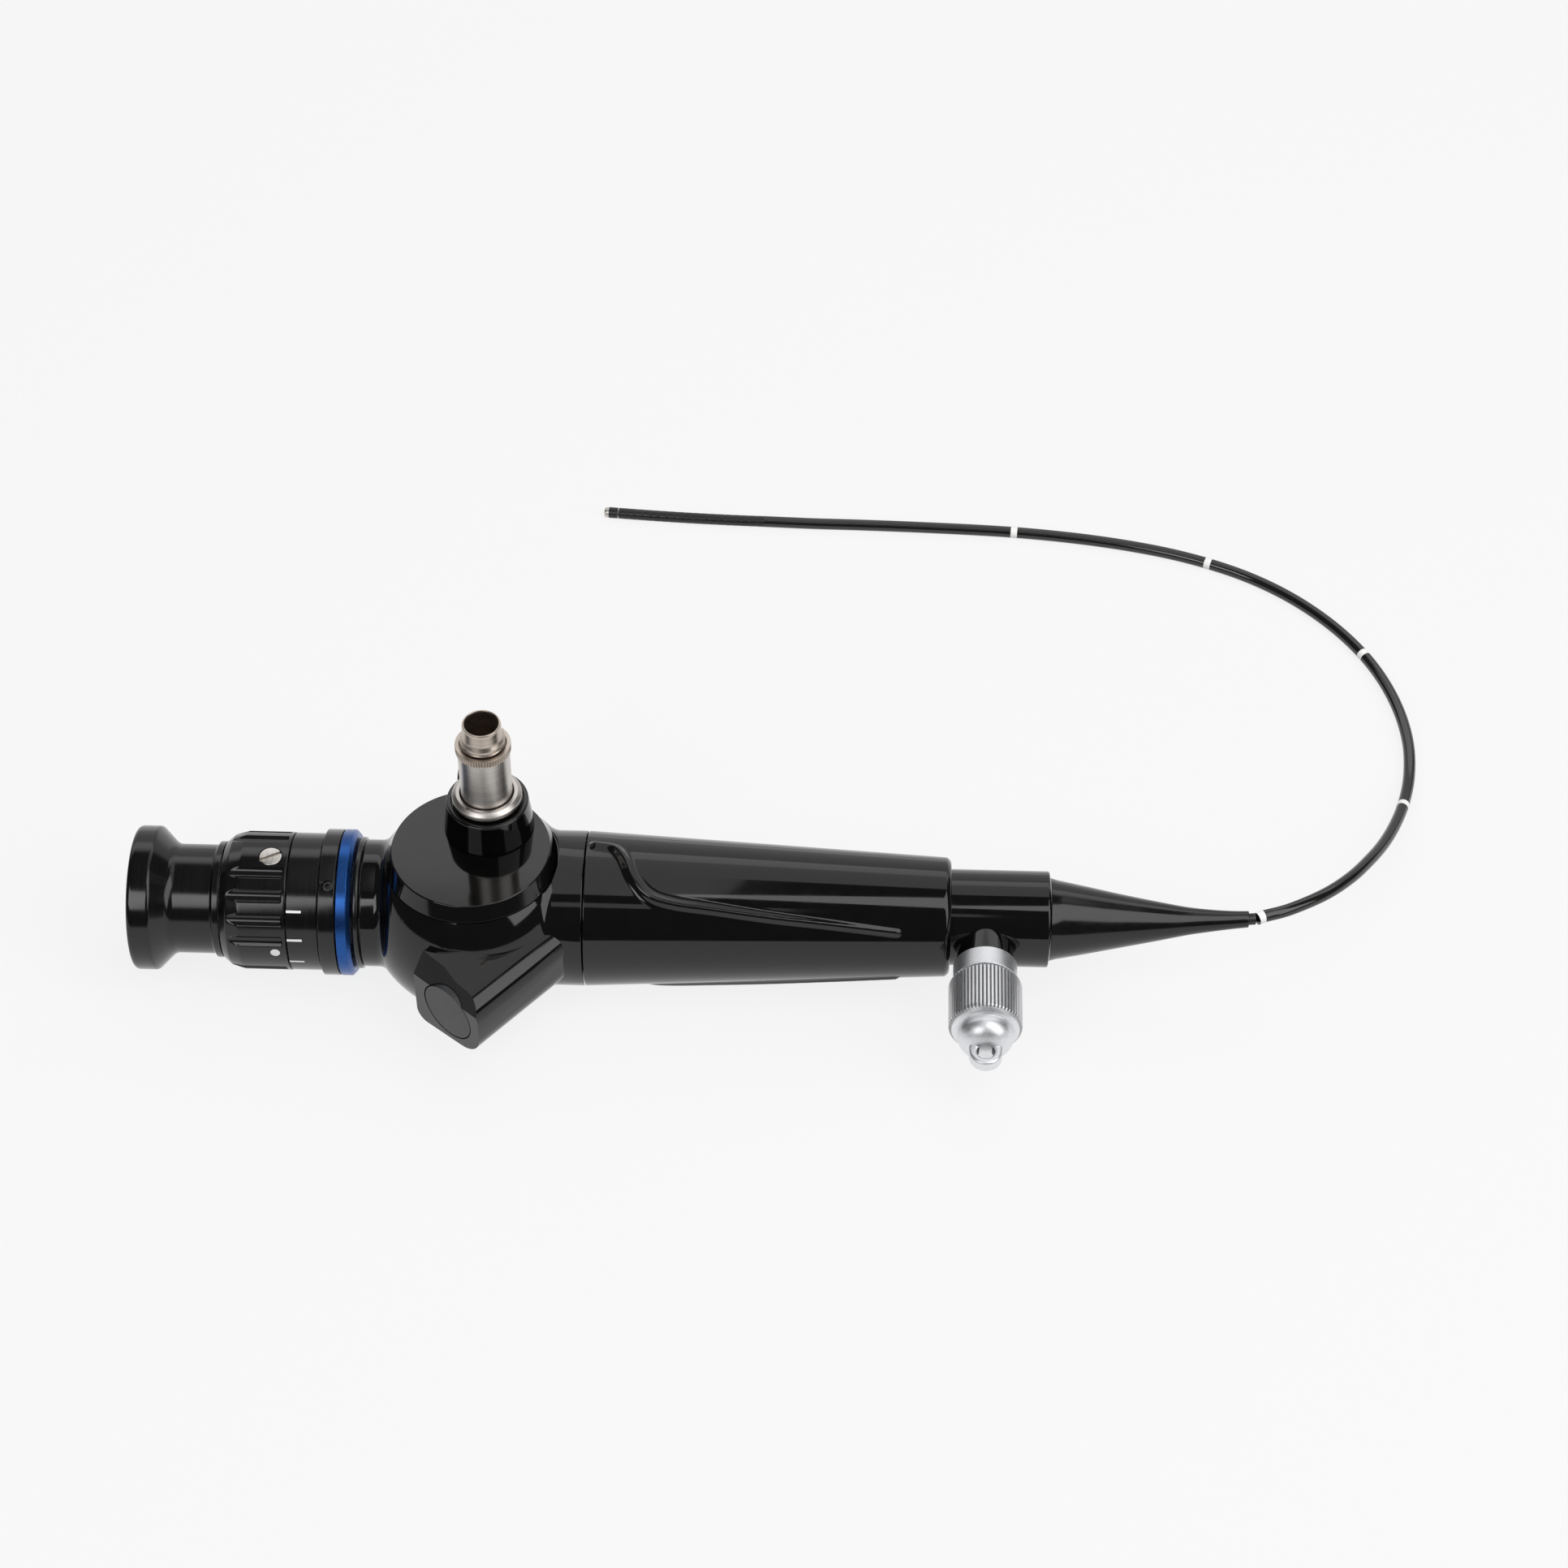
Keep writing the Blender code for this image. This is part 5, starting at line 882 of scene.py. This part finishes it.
def makePost():
    p = post
    at = centre + Vector((*p["origin"], 0.0))
    low, high, wide, narrow = p["socket"]
    bore = p["radius"] + gap
    socket = turned("postSocket", [
        (low, wide, 0.12 * mm), (high, narrow, 0.45 * mm), (high, 7.95 * mm, 0.12 * mm),
        (high - 0.35 * mm, 7.85 * mm, 0.05 * mm), (high - 0.35 * mm, bore, 0.0), (low, bore, 0.0),
    ], at, alongZ, 160)
    dress(socket, glossBlack, "root", ["light_post_socket"])
    low, high, wide = p["flange"]
    flange = turned("postFlange", [
        (low, wide - 0.35 * mm, 0.1 * mm), (low + 0.5 * mm, wide, 0.15 * mm),
        (high - 0.75 * mm, wide, 0.15 * mm), (high, wide - 0.9 * mm, 0.12 * mm), (high, bore, 0.1 * mm),
        (low, bore, 0.0),
    ], at, alongZ, 160)
    pinAt = at + Vector((*p["pin"], 0.0))
    combine(flange, rod("pin", high - 0.8 * mm, high + mm, 0.32 * mm, pinAt, alongZ, 24), "DIFFERENCE")
    dress(flange, postSteel, "root", ["light_post_flange"])
    foot, radius, thread = p["socket"][0], p["radius"], p["threadRadius"]
    ridges = []
    turns = int((p["threadHigh"] - 1.4 * mm - p["collar"][1]) / p["threadPitch"])
    for number in range(turns):
        root = p["collar"][1] + 0.2 * mm + number * p["threadPitch"]
        ridges += [(root, thread - 0.22 * mm, 0.08 * mm), (root + p["threadPitch"] / 2, thread, 0.08 * mm)]
    tube = turned("lightPost", [
        (foot, radius, 0.0), (p["threadLow"] - 0.3 * mm, radius, 0.0),
        (p["threadLow"], radius - 0.2 * mm, 0.1 * mm), (p["threadLow"], thread - 0.2 * mm, 0.05 * mm),
    ] + ridges + [
        (p["threadHigh"] - 0.9 * mm, thread, 0.1 * mm),
        (p["threadHigh"], p["topRadius"] + 0.05 * mm, 0.25 * mm),
        (p["top"] - 0.5 * mm, p["topRadius"], 0.2 * mm), (p["top"], p["topRadius"] - 0.18 * mm, 0.12 * mm),
        (p["top"], p["bore"] + 0.12 * mm, 0.1 * mm), (p["top"] - 0.4 * mm, p["bore"], 0.1 * mm),
        (p["shelf"], p["bore"], 0.1 * mm), (p["shelf"], p["lightBore"], 0.05 * mm),
        (foot, p["lightBore"], 0.0),
    ], at, alongZ, 128)
    dress(tube, postSteel, "root", ["light_post"])
    tube.data.materials.append(threadSteel)
    for face in tube.data.polygons:
        height = face.center.z - axisHeight
        away = (face.center.xy - at.xy).length
        if height > p["threadLow"] or (height > p["shelf"] - 0.1 * mm and away < p["bore"] + 0.2 * mm):
            face.material_index = 1
    low, high, wide = p["collar"]

    def knurled(point):
        radius = Vector(point[:2]).length
        if radius < wide - 0.3 * mm:
            return point
        wave = 0.5 + 0.5 * cos(p["teeth"] * atan2(point.y, point.x))
        fade = min(1.0, (point.z - low) / (0.25 * mm), (high - point.z) / (0.25 * mm))
        cut = p["toothDepth"] * (1.0 - wave ** 0.6) * max(0.0, fade)
        return Vector((point.x * (1 - cut / radius), point.y * (1 - cut / radius), point.z))

    collar = turned("knurledCollar", [(low, wide, 0.12 * mm), (high, wide, 0.12 * mm), (high, 5.2 * mm, 0.0),
                                      (low, 5.2 * mm, 0.0)], at, alongZ, 480, 4, knurled, 0.15 * mm)
    dress(collar, threadSteel, "root", ["knurled_collar"], 50.0)


makePost()
print("light post made")

# Grip handle with its raised ribs
handle = {
    "start": 25.07 * mm,
    "end": 105.2 * mm,
    "seam": 24.92 * mm,
    "rearRadius": 17.18 * mm,
    "frontRadius": 13.2 * mm,
    "length": 80.28 * mm,
    "boreRear": 14.3 * mm,
    "boreFront": 10.95 * mm,
    "ribHeight": 1.0 * mm,
    "ribHalfWidth": 1.3 * mm,
    "ribSearch": 2.6 * mm,
    "segments": 300,
    "stationStep": 0.36 * mm,
    "route": (  # from the seam, angle from -Y towards +Z, share of the full rib
        (2.0, 101.5, 1.0), (6.3, 99.0, 1.0), (8.6, 89.0, 1.0), (10.9, 71.5, 1.0), (14.5, 58.5, 1.0),
        (19.9, 52.9, 0.95), (28.7, 49.3, 0.85), (41.1, 43.9, 0.75), (53.5, 39.3, 0.62), (68.5, 32.8, 0.5),
    ),
}


def handleRadius(x):
    g = handle
    return g["rearRadius"] + (g["frontRadius"] - g["rearRadius"]) * (x - g["seam"]) / g["length"]


def makeHandle():
    g = handle
    stations = curveThrough([Vector((x, angle * 0.25, share)) for x, angle, share in g["route"]], 0.25)
    lines = []
    for side in (1.0, -1.0):
        line = []
        for station in stations:
            x = g["seam"] + station.x * mm
            line.append((Vector((x, *(atAngle(side * station.y * 4.0) * handleRadius(x)).yz)), station.z))
        lines.append(([place.x for place, share in line], line))

    def nearest(here, xs, line):
        low, high = bisect_left(xs, here.x - g["ribSearch"]), bisect_right(xs, here.x + g["ribSearch"])
        if low >= high:
            return 1.0, 1.0
        index = min(range(low, high), key=lambda number: (line[number][0] - here).length_squared)
        best, share = (line[index][0] - here).length, line[index][1]
        for other in (index - 1, index + 1):
            if 0 <= other < len(line):
                first, step = line[index][0], line[other][0] - line[index][0]
                along = max(0.0, min(1.0, (here - first).dot(step) / step.length_squared))
                best = min(best, (first + step * along - here).length)
        return best, share

    def ribbed(point):
        # own Z is world X, own X is world Y, own Y is world Z
        radius = Vector(point[:2]).length
        if radius < handleRadius(point.z) - 0.05 * mm:
            return point
        away, share = min(nearest(Vector((point.z, point.x, point.y)), xs, line) for xs, line in lines)
        away /= g["ribHalfWidth"] * (0.35 + 0.65 * share)
        if away >= 1.6:
            return point
        lift = g["ribHeight"] * share * (0.5 + 0.5 * cos(pi * away / 1.6)) ** 1.6
        return Vector((point.x * (1 + lift / radius), point.y * (1 + lift / radius), point.z))

    grip = turned("gripHandle", [
        (g["start"], handleRadius(g["start"]), 0.2 * mm),
        (g["end"] - 0.9 * mm, handleRadius(g["end"]), 0.4 * mm),
        (g["end"], handleRadius(g["end"]) - 0.8 * mm, 0.5 * mm), (g["end"], g["boreFront"], 0.0),
        (g["start"], g["boreRear"], 0.0),
    ], segments=g["segments"], reshape=ribbed, spread=g["stationStep"])
    dress(grip, glossBlack, "root", ["grip_handle"], 50.0)


makeHandle()
print("handle made")

# Channel port with its fitting and knurled cap
port = {
    "x": 112.9 * mm,
    "start": 103.3 * mm,
    "end": 126.94 * mm,
    "radius": 10.65 * mm,
    "bossRadius": 6.2 * mm,
    "bossEnd": 14.05 * mm,
    "wideBore": 8.2 * mm,
    "narrowBore": 4.9 * mm,
    "bossBore": 3.3 * mm,
    "channel": 1.2 * mm,
    "collar": (14.35 * mm, 19.1 * mm, 7.0 * mm),
    "cap": 19.4 * mm,
    "knurl": (20.4 * mm, 31.6 * mm, 8.0 * mm),
    "teeth": 60,
    "toothDepth": 0.5 * mm,
    "ring": (32.9 * mm, 35.1 * mm, 6.06 * mm),
    "dome": 38.3 * mm,
    "capBore": 3.9 * mm,
    "inside": 30.6 * mm,
    "eyelet": (39.3 * mm, 7.1 * mm, 3.0 * mm, 1.8 * mm),  # hole's middle, width, thickness, hole
}
portAt = centre + alongX * port["x"]


def makePort():
    p = port
    neck = turned("portHousing", [(p["start"], 0.0, 0.0), (p["start"], p["radius"], 0.2 * mm),
                                  (p["end"], p["radius"], 0.5 * mm), (p["end"], 0.0, 0.0)], segments=160)
    boss = turned("boss", [
        (2 * mm, 0.0, 0.0), (2 * mm, p["bossRadius"], 0.0), (p["bossEnd"], p["bossRadius"], 0.3 * mm),
        (p["bossEnd"], 0.0, 0.0),
    ], portAt, -alongY, 128)
    combine(neck, boss, "UNION")
    for cutter in (
        rod("wide", p["start"] - mm, p["x"] + 7 * mm, p["wideBore"], segments=96),
        rod("narrow", p["x"], p["end"] + mm, p["narrowBore"]),
        rod("bore", 4 * mm, p["bossEnd"] + 2 * mm, p["bossBore"], portAt, -alongY),
    ):
        combine(neck, cutter, "DIFFERENCE")
    dress(neck, glossBlack, "root", ["port_housing"], 24.0)
    low, high, radius = p["collar"]
    fitting = turned("portFitting", [
        (9 * mm, 3.0 * mm, 0.1 * mm), (low, 3.0 * mm, 0.0), (low, radius, 0.25 * mm),
        (high, radius, 0.25 * mm), (high, 3.2 * mm, 0.0), (28 * mm, 2.9 * mm, 0.1 * mm),
        (28 * mm, p["channel"], 0.1 * mm), (9 * mm, p["channel"], 0.1 * mm),
    ], portAt, -alongY, 128)
    dress(fitting, capAluminium, "root", ["port_fitting"])


def makeCap():
    p = port
    low, high, radius = p["knurl"]
    core = radius - 0.5 * mm

    def knurled(point):
        # V grooves between flat teeth, which run out on the rounded shoulders
        away = Vector(point[:2]).length
        if away < core - 0.4 * mm or not low - 0.6 * mm < point.z < high + 1.0 * mm:
            return point
        wave = abs(((atan2(point.y, point.x) * p["teeth"] / (2 * pi)) % 1.0) - 0.5) * 2.0
        floor = radius - p["toothDepth"] * min(1.0, max(0.0, (wave - 0.5) / 0.32))
        if floor >= away:
            return point
        return Vector((point.x * floor / away, point.y * floor / away, point.z))

    start = p["cap"]
    ringLow, ringHigh, ringRadius = p["ring"]
    body = turned("capBody", [
        (start, core - 0.5 * mm, 0.2 * mm), (low - 0.45 * mm, core + 0.05 * mm, 0.1 * mm),
        (low + 0.1 * mm, radius, 0.2 * mm), (high, radius, 0.4 * mm),
        (high + 0.75 * mm, core - 0.1 * mm, 0.4 * mm), (ringLow, ringRadius + 0.55 * mm, 0.3 * mm),
        (ringLow, ringRadius, 0.15 * mm), (ringHigh - 0.3 * mm, ringRadius, 0.4 * mm),
        (ringHigh + 0.9 * mm, ringRadius - 0.45 * mm, 0.7 * mm),
        (ringHigh + 2.1 * mm, ringRadius - 1.5 * mm, 0.8 * mm),
        (p["dome"] - 0.3 * mm, ringRadius - 3.2 * mm, 0.8 * mm), (p["dome"], 0.0, 0.0),
        (p["inside"], 0.0, 0.0), (p["inside"], p["capBore"], 0.0), (start, p["capBore"], 0.0),
    ], portAt, -alongY, 480, 5, knurled, 0.4 * mm)
    dress(body, capAluminium, "cap", ["channel_cap"], 32.0)
    # the groove faces of the knurl take the darker aluminium: painted shade in the grooves
    body.data.materials.append(grooveShadeAluminium)
    for face in body.data.polygons:
        away = face.center - portAt
        outwards = -away.y
        if low - 0.3 * mm < outwards < high + 0.9 * mm:
            around = Vector((away.x, away.z)).length
            if core - 0.3 * mm < around < radius - 0.16 * mm and abs(face.normal.y) < 0.75:
                face.material_index = 1


def makeEyelet():
    hole, width, thick, bore = port["eyelet"]
    half, count = width / 2, 48
    shape = bmesh.new()
    place = Matrix.Translation((0.0, hole, 0.0))
    bmesh.ops.create_circle(shape, radius=bore, segments=count, matrix=place)
    outer = bmesh.ops.create_circle(shape, radius=half, segments=count, matrix=place)
    root = port["dome"] - 2.4 * mm
    for vert in outer["verts"]:
        if vert.co.y < hole:
            vert.co.y = hole - (hole - root) * min(1.0, (hole - vert.co.y) / half * 1.6)
            vert.co.x *= 1.0 + 0.12 * (hole - vert.co.y) / (hole - root)
    bmesh.ops.bridge_loops(shape, edges=shape.edges[:])
    grown = bmesh.ops.extrude_face_region(shape, geom=shape.faces[:])
    bmesh.ops.translate(shape, vec=(0.0, 0.0, thick),
                        verts=[item for item in grown["geom"] if isinstance(item, bmesh.types.BMVert)])
    bmesh.ops.translate(shape, vec=(0.0, 0.0, -thick / 2), verts=shape.verts)
    bmesh.ops.recalc_face_normals(shape, faces=shape.faces)
    rims = [edge for edge in shape.edges
            if len(edge.link_faces) == 2 and edge.calc_face_angle(0.0) > radians(60.0)]
    bmesh.ops.bevel(shape, geom=rims, offset=0.75 * mm, offset_type="OFFSET", segments=5, profile=0.5,
                    affect="EDGES", material=-1, clamp_overlap=True)
    turn = Matrix((alongX, -alongY, -alongZ)).transposed().to_4x4()
    bmesh.ops.transform(shape, matrix=Matrix.Translation(portAt) @ turn, verts=shape.verts)
    eyelet = meshPiece("capEyelet", shape)
    dress(eyelet, capAluminium, "cap", (), 50.0)
    # the wall of the hole takes the dark blackened-steel finish: painted shade inside the hole
    eyelet.data.materials.append(blackSteel)
    middle = portAt - alongY * hole
    for face in eyelet.data.polygons:
        away = face.center - middle
        if away.xy.length < bore + 0.2 * mm:
            face.material_index = 1


makePort()
makeCap()
makeEyelet()
print("channel port and cap made")

# Boot and ferrule, with the boot's light sideways sag
boot = {
    "start": 127.24 * mm,
    "length": 43.9 * mm,
    "sag": 1.5 * mm,
    "profile": (
        (0.0, 9.2), (0.03, 8.8), (0.2, 7.35), (0.36, 5.92), (0.52, 4.57), (0.68, 3.23), (0.77, 2.68),
        (0.85, 2.3), (0.93, 2.0), (1.0, 1.84),
    ),
    "ferruleStart": 131.0 * mm,
    "ferruleEnd": 172.74 * mm,
    "ferruleRadius": 1.3 * mm,
}


def sagged(point):
    # own X is world Y
    share = max(0.0, (point.z - boot["start"]) / boot["length"])
    return Vector((point.x + boot["sag"] * share ** 3, point.y, point.z))


def makeBoot():
    b = boot
    outer = curveThrough([Vector((b["start"] + share * b["length"], radius * mm, 0.0))
                          for share, radius in b["profile"][1:]], 1.2 * mm)
    first = b["profile"][0]
    corners = [(b["start"], first[1] * mm, 0.1 * mm)] + [(spot.x, spot.y, 0.0) for spot in outer[:-1]]
    tip = outer[-1]
    corners += [(tip.x, tip.y, 0.15 * mm), (tip.x, 1.6 * mm, 0.0), (tip.x - 9 * mm, 1.6 * mm, 0.0),
                (b["start"] + 0.2 * b["length"], 5.5 * mm, 0.0), (b["start"], 6.9 * mm, 0.0)]
    cover = turned("bootCover", corners, segments=128, reshape=sagged, spread=1.5 * mm)
    dress(cover, bootRubber, "root", ["boot"], 40.0)
    ferrule = turned("tubeFerrule", [
        (b["ferruleStart"], b["ferruleRadius"], 0.0), (b["ferruleEnd"], b["ferruleRadius"], 0.12 * mm),
        (b["ferruleEnd"], 0.9 * mm, 0.0), (b["ferruleStart"], 0.9 * mm, 0.0),
    ], segments=64, reshape=sagged, spread=3 * mm)
    dress(ferrule, blackSteel, "root", ["tube_ferrule"])


makeBoot()
print("boot made")

# Deflection lever, its thumb piece and the cap under its hub
lever = {
    "top": -13.5 * mm,
    "bottom": -17.1 * mm,
    "radius": 19.5 * mm,
    "bottomRadius": 18.2 * mm,
    "capRadius": 12.5 * mm,
    "shaft": 5.0 * mm,
    "stud": 2.2 * mm,
    "studTop": -4.5 * mm,
    "reach": 34.5,
    "armTop": 8.3,
    "armThick": 3.5,
    "armBend": 7.5,
    "armLow": -6.5 * mm,
    "armHigh": 3.5 * mm,
    "ribs": 6,
    "ribPitch": 2.6 * mm,
    "ribRadius": 0.7 * mm,
}


def makeLever():
    g = lever
    hub = turned("leverHub", [
        (g["bottom"], g["bottomRadius"], 0.3 * mm), (g["top"] - 0.5 * mm, g["radius"], 0.3 * mm),
        (g["top"], g["radius"] - 0.4 * mm, 0.2 * mm), (g["top"], g["shaft"], 0.0),
        (g["top"] - 1.5 * mm, g["shaft"], 0.0), (g["top"] - 1.5 * mm, g["capRadius"] + gap, 0.0),
        (g["bottom"], g["capRadius"] + gap, 0.1 * mm),
    ], axis=alongZ, segments=160)
    inner = g["reach"] - g["armThick"]
    root, low, high = g["capRadius"] / mm + 3, g["bottom"] / mm + 0.2, g["top"] / mm - 0.2
    outline = rounded([
        (root, low, 0.0), (g["reach"], low, g["armBend"]), (g["reach"], g["armTop"], 1.2),
        (inner, g["armTop"], 1.2), (inner, high, g["armBend"] - g["armThick"]), (root, high, 0.0),
    ])
    turn = Matrix((alongY, alongZ, alongX)).transposed().to_4x4()
    arm = prism("arm", outline, g["armLow"], g["armHigh"], Matrix.Translation(centre) @ turn)
    combine(hub, arm, "UNION")
    dress(hub, satinBlack, "lever", ["lever"], 30.0)
    bevel = hub.modifiers.new("edges", "BEVEL")
    bevel.width, bevel.segments, bevel.limit_method, bevel.angle_limit = 0.4 * mm, 3, "ANGLE", radians(50.0)
    for number in range(g["ribs"]):
        height = (g["armTop"] - 1.6) * mm - number * g["ribPitch"]
        rib = turned("thumbRib.%d" % (number + 1), [
            (g["armLow"] + 0.6 * mm, 0.0, 0.0), (g["armLow"] + 0.6 * mm, g["ribRadius"], 0.4 * mm),
            (g["armHigh"] - 0.6 * mm, g["ribRadius"], 0.4 * mm), (g["armHigh"] - 0.6 * mm, 0.0, 0.0),
        ], centre + Vector((0.0, g["reach"] * mm, height)), alongX, 32)
        dress(rib, satinBlack, "lever")
    capTop = g["top"] - 1.8 * mm
    cap = turned("hubCap", [
        (-axisHeight, 0.0, 0.0), (-axisHeight, g["capRadius"], 0.4 * mm),
        (capTop, g["capRadius"], 0.1 * mm), (capTop, g["stud"], 0.0), (g["studTop"], g["stud"], 0.1 * mm),
        (g["studTop"], 0.0, 0.0),
    ], axis=alongZ, segments=128)
    dress(cap, postSteel, "root", ["hub_cap"])


makeLever()
print("lever made")

# Inner pieces keep their solids and take a finish of their own
innerFinishes = {
    "eyepiece_window": windowGlass, "eyepiece_tube": innerAluminium,
    "image_guide_mount": innerAluminium,
    "image_guide": fibreJacket, "light_guide_bundle": fibreJacket, "bearing_plate": brass,
    "stud_bridge": brass,
    "coil_pipe_up": screwSteel, "coil_pipe_down": screwSteel, "chassis_tube": innerAluminium,
    "valve_seat": screwSteel, "suction_tube": polymerWhite,
    "channel_tube": polymerWhite, "ocular_cell": satinBlack, "ocular_lens": windowGlass,
    "lever_shaft": postSteel, "wire_drum": innerAluminium, "pull_wire_up": screwSteel,
    "pull_wire_down": screwSteel, "cap_seal": sealRubber,
}
for name, look in innerFinishes.items():
    nodes[name].data.materials.clear()
    nodes[name].data.materials.append(look)
for link in linkNodes:
    link.data.materials.clear()
    link.data.materials.append(screwSteel)
print("inner pieces dressed")

# Pale floor and soft lamps
studio = {
    "floorSize": 3.0,
    "floorColour": 0.14,
    "floorGlow": 0.835,
    "worldGrey": 0.08,
    "lamps": {  # place, point it faces, size, radiance
        "overhead": ((-0.015, 0.14, 0.9), (-0.015, 0.14, 0.0), (0.25, 1.0), 0.85),
        "overheadRight": ((0.32, 0.42, 0.9), (0.32, 0.42, 0.0), (0.42, 0.44), 0.85),
        "overheadBack": ((0.0, 0.98, 0.9), (0.0, 0.98, 0.0), (2.4, 0.68), 0.9),
        "frontLeft": ((-0.4, -0.66, 0.68), (-0.05, 0.0, 0.0), (0.5, 0.48), 3.4),
        "frontRight": ((0.68, -0.32, 0.77), (0.08, 0.0, 0.0), (0.7, 1.3), 2.3),
        "frontStrip": ((0.0, -0.54, 0.72), (0.0, 0.0, 0.0), (0.28, 0.1), 0.8),
    },
    "backdrop": (1.3, 1.5, 0.62),
}


def makeFloorLook(name, colour, glow):
    # the camera and reflections see it pale, and its own colour still takes the shadow
    look = bpy.data.materials.new(name)
    look.use_nodes = True
    tree = look.node_tree
    shader = tree.nodes["Principled BSDF"]
    shader.inputs["Roughness"].default_value = 0.9
    shader.inputs["Specular IOR Level"].default_value = 0.0
    shader.inputs["Base Color"].default_value = (colour, colour, colour, 1.0)
    path = tree.nodes.new("ShaderNodeLightPath")
    first = tree.nodes.new("ShaderNodeMath")
    first.operation = "MAXIMUM"
    tree.links.new(path.outputs["Is Camera Ray"], first.inputs[0])
    tree.links.new(path.outputs["Is Glossy Ray"], first.inputs[1])
    second = tree.nodes.new("ShaderNodeMath")
    second.operation = "MAXIMUM"
    tree.links.new(first.outputs["Value"], second.inputs[0])
    tree.links.new(path.outputs["Is Transmission Ray"], second.inputs[1])
    strength = tree.nodes.new("ShaderNodeMath")
    strength.operation = "MULTIPLY"
    strength.inputs[1].default_value = glow
    tree.links.new(second.outputs["Value"], strength.inputs[0])
    shader.inputs["Emission Color"].default_value = (1.0, 1.0, 1.0, 1.0)
    tree.links.new(strength.outputs["Value"], shader.inputs["Emission Strength"])
    return look


def makeStudio():
    size = studio["floorSize"]
    shape = bmesh.new()
    bmesh.ops.create_grid(shape, x_segments=1, y_segments=1, size=size / 2)
    floor = meshPiece("floor", shape)
    floor.data.materials.append(makeFloorLook("paleFloor", studio["floorColour"], studio["floorGlow"]))
    away, height, glow = studio["backdrop"]
    shape = bmesh.new()
    bmesh.ops.create_grid(shape, x_segments=1, y_segments=1, size=0.5)
    bmesh.ops.scale(shape, vec=(size, height, 1.0), verts=shape.verts)
    place = Matrix.Translation((0.0, away, height / 2)) @ Matrix.Rotation(pi / 2, 4, "X")
    bmesh.ops.transform(shape, matrix=place, verts=shape.verts)
    backdrop = meshPiece("backdrop", shape)
    backdrop.data.materials.append(makeFloorLook("paleBackdrop", studio["floorColour"], glow))
    for name, (place, target, lampSize, radiance) in studio["lamps"].items():
        data = bpy.data.lights.new(name, "AREA")
        data.shape = "RECTANGLE"
        data.size, data.size_y = lampSize
        data.energy = radiance * lampSize[0] * lampSize[1] * pi
        lamp = bpy.data.objects.new(name, data)
        lamp.location = place
        lamp.rotation_euler = (Vector(target) - Vector(place)).to_track_quat("-Z", "Y").to_euler()
        bpy.context.scene.collection.objects.link(lamp)
    world = bpy.data.worlds.new("studio")
    world.use_nodes = True
    grey = studio["worldGrey"]
    world.node_tree.nodes["Background"].inputs["Color"].default_value = (grey, grey, grey, 1.0)
    bpy.context.scene.world = world


makeStudio()
print("studio lit")
